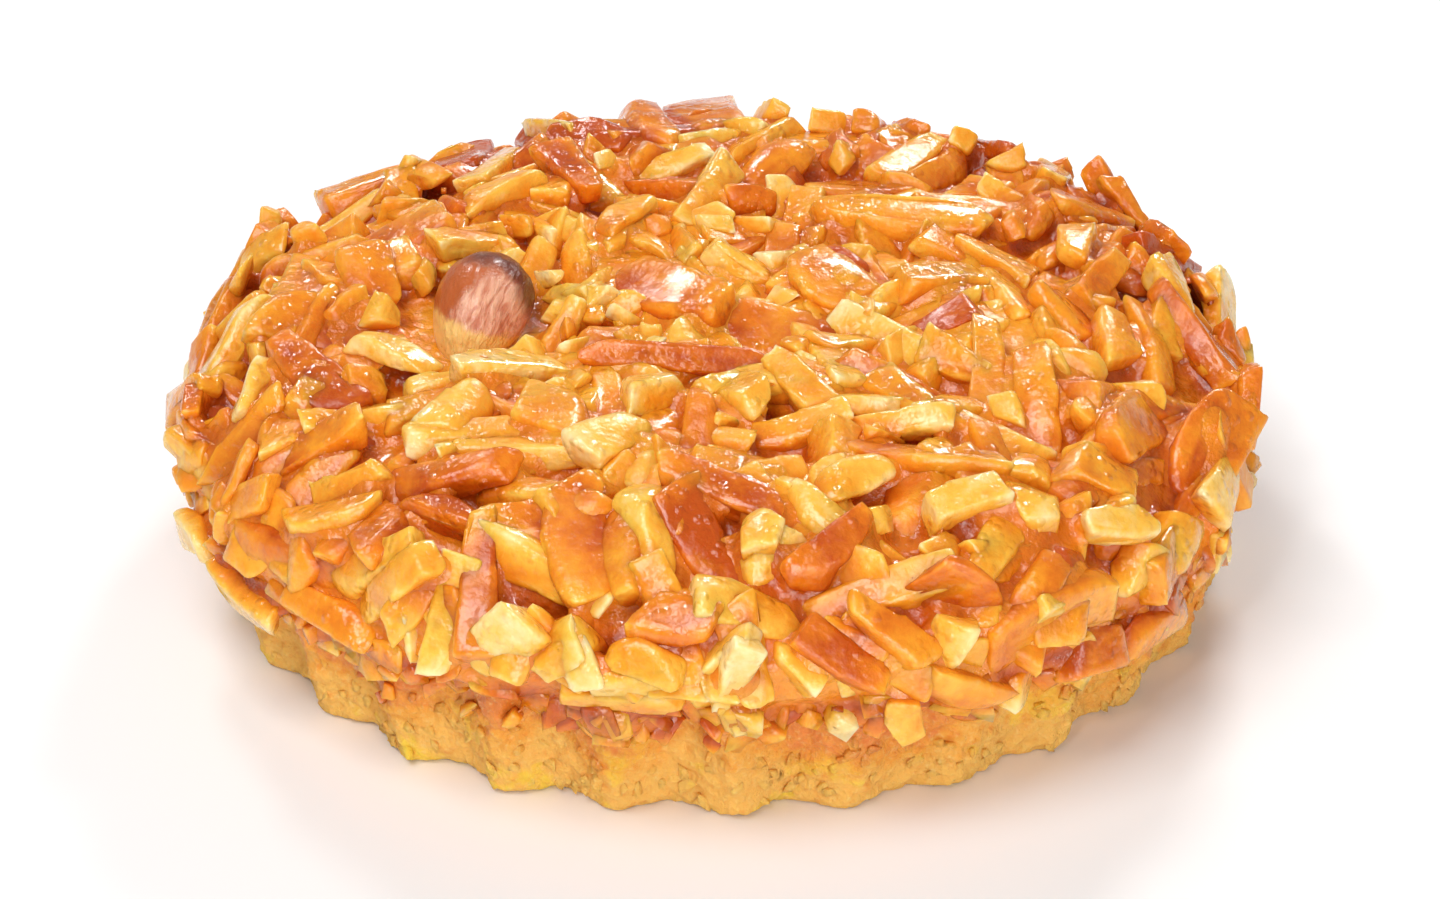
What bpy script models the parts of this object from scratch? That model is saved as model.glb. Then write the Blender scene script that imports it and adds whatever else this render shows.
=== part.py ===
"""Almond tart: a fluted shortcrust shell filled level, under a heaped crown of chopped and
slivered almonds set in caramel. One half almond that kept its brown skin lies on the crown.

Metres, +Z up. The origin is the middle of the flat underside, and the side that faces the
viewer is -Y.
"""

import math
import random
from collections import namedtuple

import bmesh
import bpy
import numpy as np
from mathutils import Matrix, Vector, noise
from mathutils.bvhtree import BVHTree

MM = 0.001

# Shortcrust shell, as it leaves a fluted tartlet tin
SHELL_HEIGHT = 14.0 * MM
BASE_RADIUS = 49.3 * MM
RIM_RADIUS = 52.4 * MM
FLUTES = 28
FLUTE_DEPTH = 2.6 * MM
FLUTE_SHARPNESS = 1.25
FIRST_RIDGE = math.radians(-88.5)
STEPS_PER_FLUTE = 6
BASE_CHAMFER = 0.7 * MM
RIM_ROUNDING = 1.6 * MM
SHELL_CRAGS = 0.35 * MM

# Caramel crown that the nuts are set in
SEAT_GAP = 0.3 * MM
CROWN_EDGE = 51.2 * MM
CROWN_HEIGHT = 11.4 * MM
CROWN_SHOULDER = 8.0
CROWN_STEPS = 40
CROWN_RINGS = (0.995, 0.96, 0.88, 0.68, 0.47, 0.25)
CROWN_LUMPS = 0.5 * MM

# Nuts, laid one by one on a bed just under the caramel's surface
BED_SINK = 1.2 * MM
BED_CELL = 0.6 * MM
BED_REACH = 76 * MM
WALL_CLEARANCE = 0.5 * MM
WALL_FOOT = 5 * MM
WALL_THINNING = 0.75
PUSH = 0.4 * MM
PUSHES = 16
SHELL_CLEARANCE = 0.35 * MM
NUTS_LAID = 228
SPOTS_TRIED = 12
TRIES = 4000
LOWEST_CONTACT = 0.35
HEAP_LIMIT = (5.0 * MM, 4.0 * MM)
SHOWPIECE_LIMIT = (6.3 * MM, 5.0 * MM)
REACH = 56.0 * MM
DRAPE = (7.5 * MM, 3.0 * MM)
LEAST_SHOWING = 0.5
SEED = 11

# View that the nuts below are placed by: from the front, this high above the table, looking at
# a point on the axis. A place in the view is in mm to the right of that point and above it.
VIEW_ELEVATION = math.radians(30)
VIEW_DISTANCE = 490 * MM
VIEW_LEVEL = 11 * MM

# Nuts that stand out: kind, place in the view (right, up), length, width, thickness in mm,
# slant of the length in the view and how far its far end is raised, in degrees.
SHOWPIECES = [
    # back edge
    ("slab", -7, 31, 14, 6, 4, -62, 20),
    ("slab", -2, 32, 12, 9, 3, -40, 25),
    ("chunk", -7, 28, 6, 6, 5, 10, 0),
    ("stick", -2, 24, 13, 4, 3.5, 52, 8),
    ("slab", 4.5, 27, 14, 6, 4, 62, 25),
    ("slab", 18, 21, 19, 5, 4, -4, 0),
    ("slab", 25.5, 19.5, 13, 8, 4, -8, 14),
    ("stick", 42.5, 18.5, 13, 4, 3, -8, 0),
    ("slab", -26, 31, 12, 6, 3, 42, 18),
    ("stick", -17, 31, 14, 5, 3, -20, 10),
    # left
    ("slab", -31, 20, 11, 7, 3.5, 8, 8),
    ("slab", -40, 12, 12, 9, 3.5, -5, 12),
    ("stick", -47, 10, 15, 4.5, 3.5, 50, 10),
    ("stick", -40, 6.5, 14, 6, 3.5, -32, 10),
    ("stick", -43, -1.5, 20, 5, 4, 27, 8),
    ("stick", -41, -10.5, 17, 5.5, 4, -24, 0),
    ("stick", -26.5, -3.5, 14, 4.5, 4, 0, 0),
    # middle
    ("stick", -21, 6.5, 13, 5, 3.5, 17, 8),
    ("slab", -5, 14, 15, 7, 4, -27, 8),
    ("stick", -4.5, 7.5, 19, 3.5, 3.5, 2, 0),
    ("slab", 10.5, 15, 10, 8, 4, -35, 20),
    ("chunk", -16.5, 2, 9, 8, 5, 70, 15),
    ("stick", 18, 6, 15, 4.5, 4, -6, 8),
    ("stick", 18, 1.5, 11, 4, 3.5, -2, 0),
    ("stick", 27, 7, 15, 4, 4, 82, 18),
    ("stick", 31.5, 5, 14, 4.5, 4, 88, 18),
    ("slab", 20.5, -2, 16, 5, 4, -3, 12),
    # right
    ("stick", 46, 11, 14, 4, 3.5, -42, 8),
    ("slab", 49.5, 10.5, 9, 5, 3, -35, 15),
    ("slab", 47.5, -0.5, 13, 8, 3.5, 72, 10),
    ("stick", 37, -7, 9, 3.5, 3.5, 0, 0),
    # front
    ("slab", -14, -9, 15, 7, 5, -72, 12),
    ("stick", -7.5, -8.5, 12, 4.5, 4, -62, 12),
    ("stick", -2, -8.5, 12, 6, 4.5, -48, 10),
    ("stick", -23.5, -13.5, 15, 4.5, 3.5, 84, -18),
    ("chunk", 2.5, -15, 11, 5, 4.5, 2, 0),
    ("slab", 15.5, -13.5, 16, 4.5, 4, 13, 0),
    ("slab", 31, -16.5, 15, 7, 4, 20, 0),
    ("stick", 16, -18, 11, 4, 4, -35, 0),
]

# Half almond with its skin on
ALMOND_LENGTH = 14.5 * MM
ALMOND_WIDTH = 9.6 * MM
ALMOND_THICKNESS = 5.4 * MM
ALMOND_TAPER = 0.2
ALMOND_STEPS = 14
ALMOND_RINGS = 5
ALMOND_PLACE = (-23.5 * MM, -0.5 * MM)
ALMOND_TURN = math.radians(76)
ALMOND_TILT = math.radians(20)
ALMOND_ROOM = 0.9 * MM
ALMOND_HOLLOW = 3.6 * MM

COLOURS = {
    "shortcrust": ((0.83, 0.46, 0.12), 0.65),
    "caramel_nuts": ((0.80, 0.38, 0.10), 0.3),
    "almond_skin": ((0.36, 0.11, 0.04), 0.45),
}

Nut = namedtuple("Nut", "kind length width thick matrix")


def clear_scene():
    for thing in list(bpy.data.objects):
        bpy.data.objects.remove(thing)


def material(name):
    colour, roughness = COLOURS[name]
    made = bpy.data.materials.new(name)
    made.use_nodes = True
    surface = made.node_tree.nodes["Principled BSDF"]
    surface.inputs["Base Color"].default_value = (*colour, 1)
    surface.inputs["Roughness"].default_value = roughness
    surface.inputs["Metallic"].default_value = 0
    return made


def new_object(name, bm, finish):
    mesh = bpy.data.meshes.new(name)
    bmesh.ops.recalc_face_normals(bm, faces=bm.faces)
    bm.to_mesh(mesh)
    bm.free()
    made = bpy.data.objects.new(name, mesh)
    bpy.context.scene.collection.objects.link(made)
    made.data.materials.append(finish)
    return made


# Fluted shell


def ridge_radius(height):
    """Radius of the tin at its ridges, at this height."""
    return BASE_RADIUS + (RIM_RADIUS - BASE_RADIUS) * height / SHELL_HEIGHT


def shell_outline(turn, height, inset):
    """Point on the fluted wall: narrow ridges with broad hollows between them, a little uneven."""
    valley = abs(math.sin(FLUTES * (turn - FIRST_RIDGE) / 2)) ** FLUTE_SHARPNESS
    uneven = 1 + 0.18 * math.sin(3 * turn + 1) + 0.12 * math.sin(7 * turn)
    radius = ridge_radius(height) - FLUTE_DEPTH * uneven * valley - inset
    place = Vector((math.cos(turn) * radius, math.sin(turn) * radius, height))
    crag = noise.noise(place / (4 * MM)) * SHELL_CRAGS
    return Vector((math.cos(turn) * (radius + crag), math.sin(turn) * (radius + crag), height))


def shell_ring(height, inset):
    steps = FLUTES * STEPS_PER_FLUTE
    return [shell_outline(math.tau * i / steps, height, inset) for i in range(steps)]


def extrude_to(bm, face, ring):
    """Extrudes the face and moves the new outline onto the ring."""
    grown = bmesh.ops.extrude_discrete_faces(bm, faces=[face])["faces"][0]
    for corner, place in zip(grown.verts, ring):
        corner.co = place
    return grown


def fluted_shell():
    bm = bmesh.new()
    levels = [
        (BASE_CHAMFER, 0),
        (5.0 * MM, 0),
        (9.0 * MM, 0),
        (SHELL_HEIGHT - RIM_ROUNDING, 0),
        (SHELL_HEIGHT - 0.3 * RIM_ROUNDING, 0.3 * RIM_ROUNDING),
        (SHELL_HEIGHT, RIM_ROUNDING),
    ]
    foot = [bm.verts.new(place) for place in shell_ring(0, BASE_CHAMFER)]
    bm.faces.new(foot[::-1])
    face = bm.faces.new([bm.verts.new(v.co) for v in foot])
    for height, inset in levels:
        face = extrude_to(bm, face, shell_ring(height, inset))
    bmesh.ops.remove_doubles(bm, verts=bm.verts, dist=0.01 * MM)
    shell = new_object("tart_shell", bm, material("shortcrust"))
    shell.data.shade_smooth()
    shell.data.set_sharp_from_angle(angle=math.radians(50))
    return shell


# Bed that the nuts lie on


def crown_curve(share, grow):
    """Radius and height on the caramel crown, at this share of the way out to its edge."""
    height = (CROWN_HEIGHT + grow) * math.sqrt(1 - share**CROWN_SHOULDER)
    return (CROWN_EDGE + grow) * share, SHELL_HEIGHT + SEAT_GAP + height


class NutBed:
    """The surface that carries the nuts, over the crown, round the rim and down the fluted wall,
    and the height of the nuts laid on it so far. The height is kept on a flat round map, where a
    point is its distance along the surface from the middle, in its own direction."""

    def __init__(self):
        shares = [math.sin(math.pi / 2 * i / 120) ** (2 / CROWN_SHOULDER) for i in range(121)]
        crown = [crown_curve(share, -BED_SINK) for share in shares]
        wall = [
            (ridge_radius(height) + WALL_CLEARANCE, height)
            for height in np.linspace(SHELL_HEIGHT - 0.5 * MM, WALL_FOOT, 30)
        ]
        curve = np.array(crown + wall)
        steps = np.hypot(*np.diff(curve, axis=0).T)
        run = np.concatenate([[0], np.cumsum(steps)])
        self.run = np.arange(0, run[-1], 0.5 * MM)
        self.radius = np.interp(self.run, run, curve[:, 0])
        self.level = np.interp(self.run, run, curve[:, 1])
        self.rim = run[len(crown) - 1]
        slope = np.array([np.gradient(self.radius), np.gradient(self.level)])
        slope /= np.hypot(*slope)
        self.normal = np.array([-slope[1], slope[0]])
        cells = int(2 * BED_REACH / BED_CELL)
        self.height = np.zeros((cells, cells))

    def frame(self, run, turn):
        """Point, outward normal and downhill direction at a place of the bed."""
        radius, level = (np.interp(run, self.run, x) for x in (self.radius, self.level))
        out, up = (np.interp(run, self.run, x) for x in self.normal)
        size = math.hypot(out, up)
        out, up = out / size, up / size
        side = np.array([math.cos(turn), math.sin(turn), 0])
        high = np.array([0, 0, 1.0])
        return side * radius + high * level, side * out + high * up, side * up - high * out

    def seen_at(self, across, up):
        """Place on the bed that the view shows there, as a run and a turn."""
        run, turn = np.meshgrid(self.run, np.linspace(-math.pi, math.pi, 721), indexing="ij")
        radius, level = self.radius[:, None], self.level[:, None]
        out, high = self.normal[0][:, None], self.normal[1][:, None]
        x, y, z = radius * np.cos(turn), radius * np.sin(turn), level + 2 * MM - VIEW_LEVEL
        sin, cos = math.sin(VIEW_ELEVATION), math.cos(VIEW_ELEVATION)
        scale = VIEW_DISTANCE / (VIEW_DISTANCE + y * cos - z * sin)
        miss = np.hypot(x * scale - across, (z * cos + y * sin) * scale - up)
        turned_away = out * -np.sin(turn) * cos + high * sin < 0.1
        best = np.unravel_index(np.argmin(miss + turned_away), miss.shape)
        return float(run[best]), float(turn[best])

    def cells(self, run, turn):
        place = np.array([run * np.cos(turn), run * np.sin(turn)])
        return tuple(((place + BED_REACH) / BED_CELL).astype(int).clip(0, len(self.height) - 1))

    def over(self, points):
        """For each point, its cell of the map and its distance above the bare bed."""
        away = np.hypot(points[:, 0], points[:, 1])
        gap = np.hypot(
            away[:, None] - self.radius[None, :], points[:, 2][:, None] - self.level[None, :]
        )
        near = gap.argmin(1)
        out = (away - self.radius[near]) * self.normal[0, near]
        up = (points[:, 2] - self.level[near]) * self.normal[1, near]
        return self.cells(self.run[near], np.arctan2(points[:, 1], points[:, 0])), out + up


def samples(length, width, level, step):
    """Points on a flat rectangle in the nut's own frame, at this level."""
    across = np.linspace(-0.5, 0.5, max(3, int(length / step)))
    side = np.linspace(-0.5, 0.5, max(3, int(width / step)))
    x, y = np.meshgrid(across * length, side * width, indexing="ij")
    return np.stack([x.ravel(), y.ravel(), np.full(x.size, level)], axis=1)


def rotation(axes, roll, pitch):
    """The axes, as columns, turned about the nut's own length and width."""
    turned = Matrix(axes.tolist()) @ Matrix.Rotation(roll, 3, "X") @ Matrix.Rotation(pitch, 3, "Y")
    return np.array(turned)


def lay(bed, kind, size, run, turn, heading, roll, pitch, limit):
    """Lays one nut on the heap: it tips to follow what is under it and sinks until it touches,
    or further to keep its top within the limit. Heading is measured from the downhill line."""
    length, width, thick = size
    centre, normal, downhill = bed.frame(run, turn)
    along = downhill * math.cos(heading) + np.cross(normal, downhill) * math.sin(heading)
    axes = np.stack([along, np.cross(normal, along), normal], axis=1)
    under = samples(length * 0.9, width * 0.8, -thick / 2, 2 * MM)
    for _ in range(2):
        cell, gap = bed.over(under @ axes.T + centre)
        gap = gap - bed.height[cell]
        fit = np.linalg.lstsq(np.c_[under[:, :2], np.ones(len(under))], gap, rcond=None)[0]
        tip = np.clip(np.arctan(fit[:2]), -0.35, 0.35)
        axes = rotation(axes, -tip[1], tip[0])
        cell, gap = bed.over(under @ axes.T + centre)
        centre = centre - normal * np.quantile(gap - bed.height[cell], LOWEST_CONTACT)
    axes = rotation(axes, roll, pitch)
    corners = samples(length * 0.8, width * 0.8, thick / 2, length) @ axes.T + centre
    over = bed.over(corners)[1].max()
    most = np.interp(run, [bed.rim - 6 * MM, bed.rim + 2 * MM], limit)
    centre = centre - normal * max(0, over - most)
    matrix = Matrix.Translation(centre) @ Matrix(axes.tolist()).to_4x4()
    return moved_clear(Nut(kind, length, width, thick, matrix), turn)


def moved_clear(nut, turn):
    """The nut, moved a little at a time until it is inside the heap's reach and off the crust:
    inwards where it sticks out, upwards across the rim, outwards beside the wall."""
    out = Vector((math.cos(turn), math.sin(turn), 0))
    for _ in range(PUSHES):
        if widest(nut) > REACH:
            step = -out
        elif not meets_shell(nut):
            break
        elif nut.matrix.translation.z > SHELL_HEIGHT:
            step = Vector((0, 0, 1))
        else:
            step = out
        nut = nut._replace(matrix=Matrix.Translation(step * PUSH) @ nut.matrix)
    return nut


def widest(nut):
    points = nut_points(nut, Matrix())
    return float(np.hypot(points[:, 0], points[:, 1]).max())


def raise_heap(bed, nut):
    top = samples(nut.length * 0.9, nut.width * 0.85, nut.thick / 2, 0.5 * MM)
    turned = np.array(nut.matrix)
    cell, level = bed.over(top @ turned[:3, :3].T + turned[:3, 3])
    np.maximum.at(bed.height, cell, level)


def nut_points(nut, matrix):
    """Points all over the nut's box, moved by the matrix."""
    layers = [samples(nut.length, nut.width, nut.thick * x, 1.2 * MM) for x in (-0.5, 0, 0.5)]
    turned = np.array(matrix @ nut.matrix)
    return np.concatenate(layers) @ turned[:3, :3].T + turned[:3, 3]


def meets_almond(nut, to_almond):
    """Whether the nut comes within the room that is kept round the half almond."""
    points = nut_points(nut, to_almond)
    size = np.array([ALMOND_LENGTH / 2, ALMOND_WIDTH / 2, ALMOND_THICKNESS]) + ALMOND_ROOM
    inside = np.sum((points / size) ** 2, axis=1) < 1
    return bool(np.any(inside & (points[:, 2] > -ALMOND_ROOM)))


def meets_shell(nut):
    """Whether the nut comes too near the crust, or under the crown's edge."""
    points = nut_points(nut, Matrix())
    above = points[:, 2] - SHELL_HEIGHT
    beside = np.hypot(points[:, 0], points[:, 1]) - ridge_radius(points[:, 2])
    return bool(np.any(np.maximum(above, beside) < SHELL_CLEARANCE))


def out_of_bounds(nut):
    """Whether the nut sticks out past the heap's reach or hangs too low on the crust."""
    lowest = DRAPE[0] + DRAPE[1] * max(0, -nut.matrix.translation.normalized().y) ** 2
    return bool(widest(nut) > REACH or nut_points(nut, Matrix())[:, 2].min() < lowest)


def fits(nut, to_almond):
    return not (meets_almond(nut, to_almond) or meets_shell(nut) or out_of_bounds(nut))


def share_showing(bed, nut):
    """Part of the nut's top that nothing covers."""
    turned = np.array(nut.matrix)
    top = samples(nut.length * 0.8, nut.width * 0.8, nut.thick / 2, 1 * MM)
    cell, level = bed.over(top @ turned[:3, :3].T + turned[:3, 3])
    return float(np.mean(level > bed.height[cell] - 0.4 * MM))


def chosen_size(kind, draw):
    """Length, width and thickness of one chopped nut."""
    if kind == "stick":
        return draw.uniform(10, 17) * MM, draw.uniform(3.6, 5) * MM, draw.uniform(3, 4) * MM
    if kind == "slab":
        return draw.uniform(9, 13.5) * MM, draw.uniform(6, 8.5) * MM, draw.uniform(2.6, 3.6) * MM
    return draw.uniform(5, 8.5) * MM, draw.uniform(4.5, 6.5) * MM, draw.uniform(3.6, 4.8) * MM


def scattered_nut(bed, draw):
    """A nut of chance size, put down on the lowest of a few spots, so that the crown fills."""
    kind = draw.choices(["stick", "slab", "chunk"], [0.52, 0.16, 0.32])[0]
    size = chosen_size(kind, draw)
    spots = []
    for _ in range(SPOTS_TRIED):
        run = (bed.rim + 7 * MM) * math.sqrt(draw.random())
        turn = draw.uniform(-math.pi, math.pi)
        cell = bed.cells(run, turn)
        spots.append((float(bed.height[cell]) + draw.uniform(0, 1) * MM, run, turn))
    _, run, turn = min(spots)
    if run > bed.rim - 2 * MM:
        size = (size[0] * 0.8, size[1], size[2] * WALL_THINNING)
    heading = draw.uniform(0, math.pi)
    roll, pitch = draw.gauss(0, 0.2), draw.gauss(0, 0.07)
    return lay(bed, kind, size, run, turn, heading, roll, pitch, HEAP_LIMIT)


def showpiece(bed, row):
    """One of the nuts that stand out, where and as the view shows it."""
    kind, across, up, length, width, thick, slant, raised = row
    run, turn = bed.seen_at(across * MM, up * MM)
    _, normal, downhill = bed.frame(run, turn)
    side = np.cross(normal, downhill)
    right = np.array([1.0, 0, 0])
    high = np.array([0, math.sin(VIEW_ELEVATION), math.cos(VIEW_ELEVATION)])
    shown = np.array([[downhill @ right, side @ right], [downhill @ high, side @ high]])
    wanted = [math.cos(math.radians(slant)), math.sin(math.radians(slant))]
    if wanted[1] < 0:
        wanted = [-wanted[0], -wanted[1]]
    part = np.linalg.solve(shown, wanted)
    heading = math.atan2(part[1], part[0])
    size = (length * MM, width * MM, thick * MM)
    return lay(bed, kind, size, run, turn, heading, 0, -math.radians(raised), SHOWPIECE_LIMIT)


def lay_nuts(to_almond):
    """All the nuts: first those laid by chance, then the ones that stand out."""
    draw = random.Random(SEED)
    bed = NutBed()
    nuts = []
    for _ in range(TRIES):
        nut = scattered_nut(bed, draw)
        if fits(nut, to_almond):
            raise_heap(bed, nut)
            nuts.append(nut)
        if len(nuts) == NUTS_LAID:
            break
    for row in SHOWPIECES:
        nut = showpiece(bed, row)
        if fits(nut, to_almond):
            raise_heap(bed, nut)
            nuts.append(nut)
    return [nut for nut in nuts if share_showing(bed, nut) > LEAST_SHOWING]


# Nut shapes, in a box of unit sides


def ringed(bm, rings, matrix):
    """Joins rings of corners, each an x and a list of (y, z), into one closed solid."""
    layers = [
        [bm.verts.new(matrix @ Vector((x, y, z))) for y, z in corners] for x, corners in rings
    ]
    bm.faces.new(layers[0][::-1])
    bm.faces.new(layers[-1])
    for low, high in zip(layers, layers[1:]):
        for i, corner in enumerate(low):
            j = (i + 1) % len(low)
            bm.faces.new((corner, low[j], high[j], high[i]))


def square(width, height, shift):
    left, right = shift - width, shift + width
    return [(left, -height), (right, -height), (right, height), (left, height)]


def stick_rings(draw):
    """A sliver: full in the middle, thinner towards both ends."""
    bend = draw.uniform(-0.12, 0.12)
    middle = draw.uniform(-0.15, 0.15)
    return [
        (-0.5, square(draw.uniform(0.2, 0.38), draw.uniform(0.22, 0.4), bend)),
        (middle, square(0.5, 0.5, -bend)),
        (0.5, square(draw.uniform(0.15, 0.34), draw.uniform(0.2, 0.4), bend)),
    ]


def slab_rings(draw):
    """A flat cut from the side of an almond: one edge straight, the other bowed."""
    tip, back = draw.uniform(0.1, 0.3), draw.uniform(-0.5, -0.3)
    full = draw.uniform(0.32, 0.5)
    return [
        (-0.5, [(back, -0.4), (tip, -0.4), (tip, 0.35), (back, 0.4)]),
        (draw.uniform(-0.2, 0.1), [(-0.5, -0.5), (full, -0.45), (full, 0.4), (-0.5, 0.5)]),
        (0.5, [(back, -0.4), (tip - 0.15, -0.35), (tip - 0.15, 0.3), (back, 0.38)]),
    ]


def chunk_rings(draw):
    """A chopped block with no two sides alike."""
    rings = []
    for x in (-0.5, 0.5):
        signs = [(-1, -1), (1, -1), (1, 1), (-1, 1)]
        rings.append((x, [(y * draw.uniform(0.32, 0.5), z * draw.uniform(0.32, 0.5)) for y, z in signs]))
    return rings


NUT_RINGS = {"stick": stick_rings, "slab": slab_rings, "chunk": chunk_rings}


def nut_object(nut, draw):
    bm = bmesh.new()
    scale = Matrix.Diagonal((nut.length, nut.width, nut.thick, 1))
    ringed(bm, NUT_RINGS[nut.kind](draw), nut.matrix @ scale)
    bmesh.ops.recalc_face_normals(bm, faces=bm.faces)
    mesh = bpy.data.meshes.new("nut")
    bm.to_mesh(mesh)
    bm.free()
    return bpy.data.objects.new("nut", mesh)


# Caramel crown with the nuts fused on


def crown_ring(share):
    radius, height = crown_curve(share, 0)
    ring = []
    for i in range(CROWN_STEPS):
        turn = math.tau * i / CROWN_STEPS
        place = Vector((math.cos(turn) * radius, math.sin(turn) * radius, height))
        lump = noise.noise(place / (7 * MM)) * CROWN_LUMPS
        away = (place.xy - Vector(ALMOND_PLACE)).length / (9 * MM)
        lump -= ALMOND_HOLLOW * math.exp(-away * away)
        ring.append(place + Vector((0, 0, lump)) * (share < 1))
    return ring


def caramel_crown():
    bm = bmesh.new()
    seat = SHELL_HEIGHT + SEAT_GAP
    inner = CROWN_EDGE - 1.5 * MM
    narrower = Vector((inner / CROWN_EDGE, inner / CROWN_EDGE, 0))
    foot = [bm.verts.new(v * narrower + Vector((0, 0, seat))) for v in crown_ring(1)]
    bm.faces.new(foot[::-1])
    face = bm.faces.new([bm.verts.new(v.co) for v in foot])
    for share in CROWN_RINGS:
        face = extrude_to(bm, face, crown_ring(share))
    bmesh.ops.remove_doubles(bm, verts=bm.verts, dist=0.01 * MM)
    return new_object("almond_crown", bm, material("caramel_nuts"))


def keep_largest_piece(mesh):
    """Drops loose scraps and the skins of sealed hollows that a union leaves."""
    bm = bmesh.new()
    bm.from_mesh(mesh)
    left, groups = set(bm.faces), []
    while left:
        group, waiting = [], [left.pop()]
        while waiting:
            face = waiting.pop()
            group.append(face)
            for other in {near for edge in face.edges for near in edge.link_faces} & left:
                left.remove(other)
                waiting.append(other)
        groups.append(group)
    groups.sort(key=len)
    bmesh.ops.delete(bm, geom=[face for group in groups[:-1] for face in group], context="FACES")
    bm.to_mesh(mesh)
    bm.free()


def fuse(target, pieces, operation, solver):
    """Joins the pieces to the target, or cuts them from it, and removes them."""
    group = bpy.data.collections.new("pieces")
    bpy.context.scene.collection.children.link(group)
    for piece in pieces:
        group.objects.link(piece)
    join = target.modifiers.new("fuse", "BOOLEAN")
    join.operation, join.solver = operation, solver
    join.operand_type, join.collection = "COLLECTION", group
    with bpy.context.temp_override(object=target, active_object=target):
        bpy.ops.object.modifier_apply(modifier=join.name)
    for piece in pieces:
        bpy.data.objects.remove(piece)
    bpy.data.collections.remove(group)


def half_almond(crown):
    """Half a kernel, flat below and domed above, tipped to the viewer on the bare caramel."""
    matrix = (
        Matrix.Translation((*ALMOND_PLACE, SHELL_HEIGHT + 20 * MM))
        @ Matrix.Rotation(ALMOND_TURN, 4, "Z")
        @ Matrix.Rotation(-ALMOND_TILT, 4, "Y")
    )
    bm = bmesh.new()
    face = None
    for i in range(ALMOND_RINGS):
        angle = math.pi / 2 * i / ALMOND_RINGS
        ring = []
        for j in range(ALMOND_STEPS):
            turn = math.tau * j / ALMOND_STEPS
            width = ALMOND_WIDTH / 2 * math.sin(turn) * (1 + ALMOND_TAPER * math.cos(turn))
            place = Vector((ALMOND_LENGTH / 2 * math.cos(turn), width, 0)) * math.cos(angle)
            ring.append(matrix @ (place + Vector((0, 0, ALMOND_THICKNESS * math.sin(angle)))))
        if face is None:
            foot = [bm.verts.new(place) for place in ring]
            bm.faces.new(foot[::-1])
            face = bm.faces.new([bm.verts.new(v.co) for v in foot])
        else:
            face = extrude_to(bm, face, ring)
    bmesh.ops.remove_doubles(bm, verts=bm.verts, dist=0.01 * MM)
    drop = settle(bm, crown)
    almond = new_object("half_almond", bm, material("almond_skin"))
    almond.data.shade_smooth()
    almond.data.set_sharp_from_angle(angle=math.radians(40))
    return almond, Matrix.Translation((0, 0, -drop)) @ matrix


def settle(bm, crown):
    """Lowers the shape until it is one seat gap above the crown, and returns how far it went."""
    ground = BVHTree.FromPolygons(
        [v.co for v in crown.data.vertices], [p.vertices[:] for p in crown.data.polygons]
    )
    down = Vector((0, 0, -1))
    drop = min(ground.ray_cast(v.co, down)[3] for v in bm.verts) - SEAT_GAP
    bmesh.ops.translate(bm, vec=(0, 0, -drop), verts=bm.verts)
    return drop


def main():
    clear_scene()
    fluted_shell()
    crown = caramel_crown()
    _, almond_matrix = half_almond(crown)
    draw = random.Random(SEED + 1)
    nuts = [nut_object(nut, draw) for nut in lay_nuts(almond_matrix.inverted())]
    fuse(crown, nuts, "UNION", "MANIFOLD")
    keep_largest_piece(crown.data)


main()
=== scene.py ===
"""Almond tart: a fluted shortcrust shell under a heaped crown of chopped almonds in caramel.

Metres, +Z up. The origin is the middle of the flat underside, and the viewer is on the -Y side.
"""

import math
import random
from collections import namedtuple
from functools import lru_cache

import bpy
import numpy as np
from bpy.props import FloatProperty, FloatVectorProperty, IntProperty, PointerProperty
from mathutils import Matrix, Vector, noise
from mathutils.bvhtree import BVHTree


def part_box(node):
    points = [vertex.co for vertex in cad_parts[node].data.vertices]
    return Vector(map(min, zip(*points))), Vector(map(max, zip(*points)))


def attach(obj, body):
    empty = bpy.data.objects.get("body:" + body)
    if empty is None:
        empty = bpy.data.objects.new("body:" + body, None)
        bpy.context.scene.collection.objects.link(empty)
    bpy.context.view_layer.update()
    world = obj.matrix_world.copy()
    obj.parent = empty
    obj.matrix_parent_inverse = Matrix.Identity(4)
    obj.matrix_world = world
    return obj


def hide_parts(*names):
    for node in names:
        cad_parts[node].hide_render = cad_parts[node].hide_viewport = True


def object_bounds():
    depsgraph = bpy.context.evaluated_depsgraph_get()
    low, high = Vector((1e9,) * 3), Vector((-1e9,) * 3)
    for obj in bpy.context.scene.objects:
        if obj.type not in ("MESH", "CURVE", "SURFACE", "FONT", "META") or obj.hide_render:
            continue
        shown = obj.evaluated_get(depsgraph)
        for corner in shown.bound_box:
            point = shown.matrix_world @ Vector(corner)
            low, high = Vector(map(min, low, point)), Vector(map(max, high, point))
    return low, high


bl_info = {
    "name": "Almond tart",
    "version": (1, 0, 0),
    "blender": (4, 5, 0),
    "location": "3D View > Sidebar > Tart",
    "description": "Dresses a fluted tart with crust, caramel and chopped almonds",
    "category": "Object",
}

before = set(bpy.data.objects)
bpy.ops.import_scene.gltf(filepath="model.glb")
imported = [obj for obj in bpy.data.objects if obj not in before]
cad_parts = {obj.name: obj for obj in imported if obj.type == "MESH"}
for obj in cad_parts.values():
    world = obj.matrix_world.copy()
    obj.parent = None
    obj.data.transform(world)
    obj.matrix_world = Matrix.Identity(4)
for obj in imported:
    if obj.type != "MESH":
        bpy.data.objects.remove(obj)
CAD_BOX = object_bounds()

MM = 0.001

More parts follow.
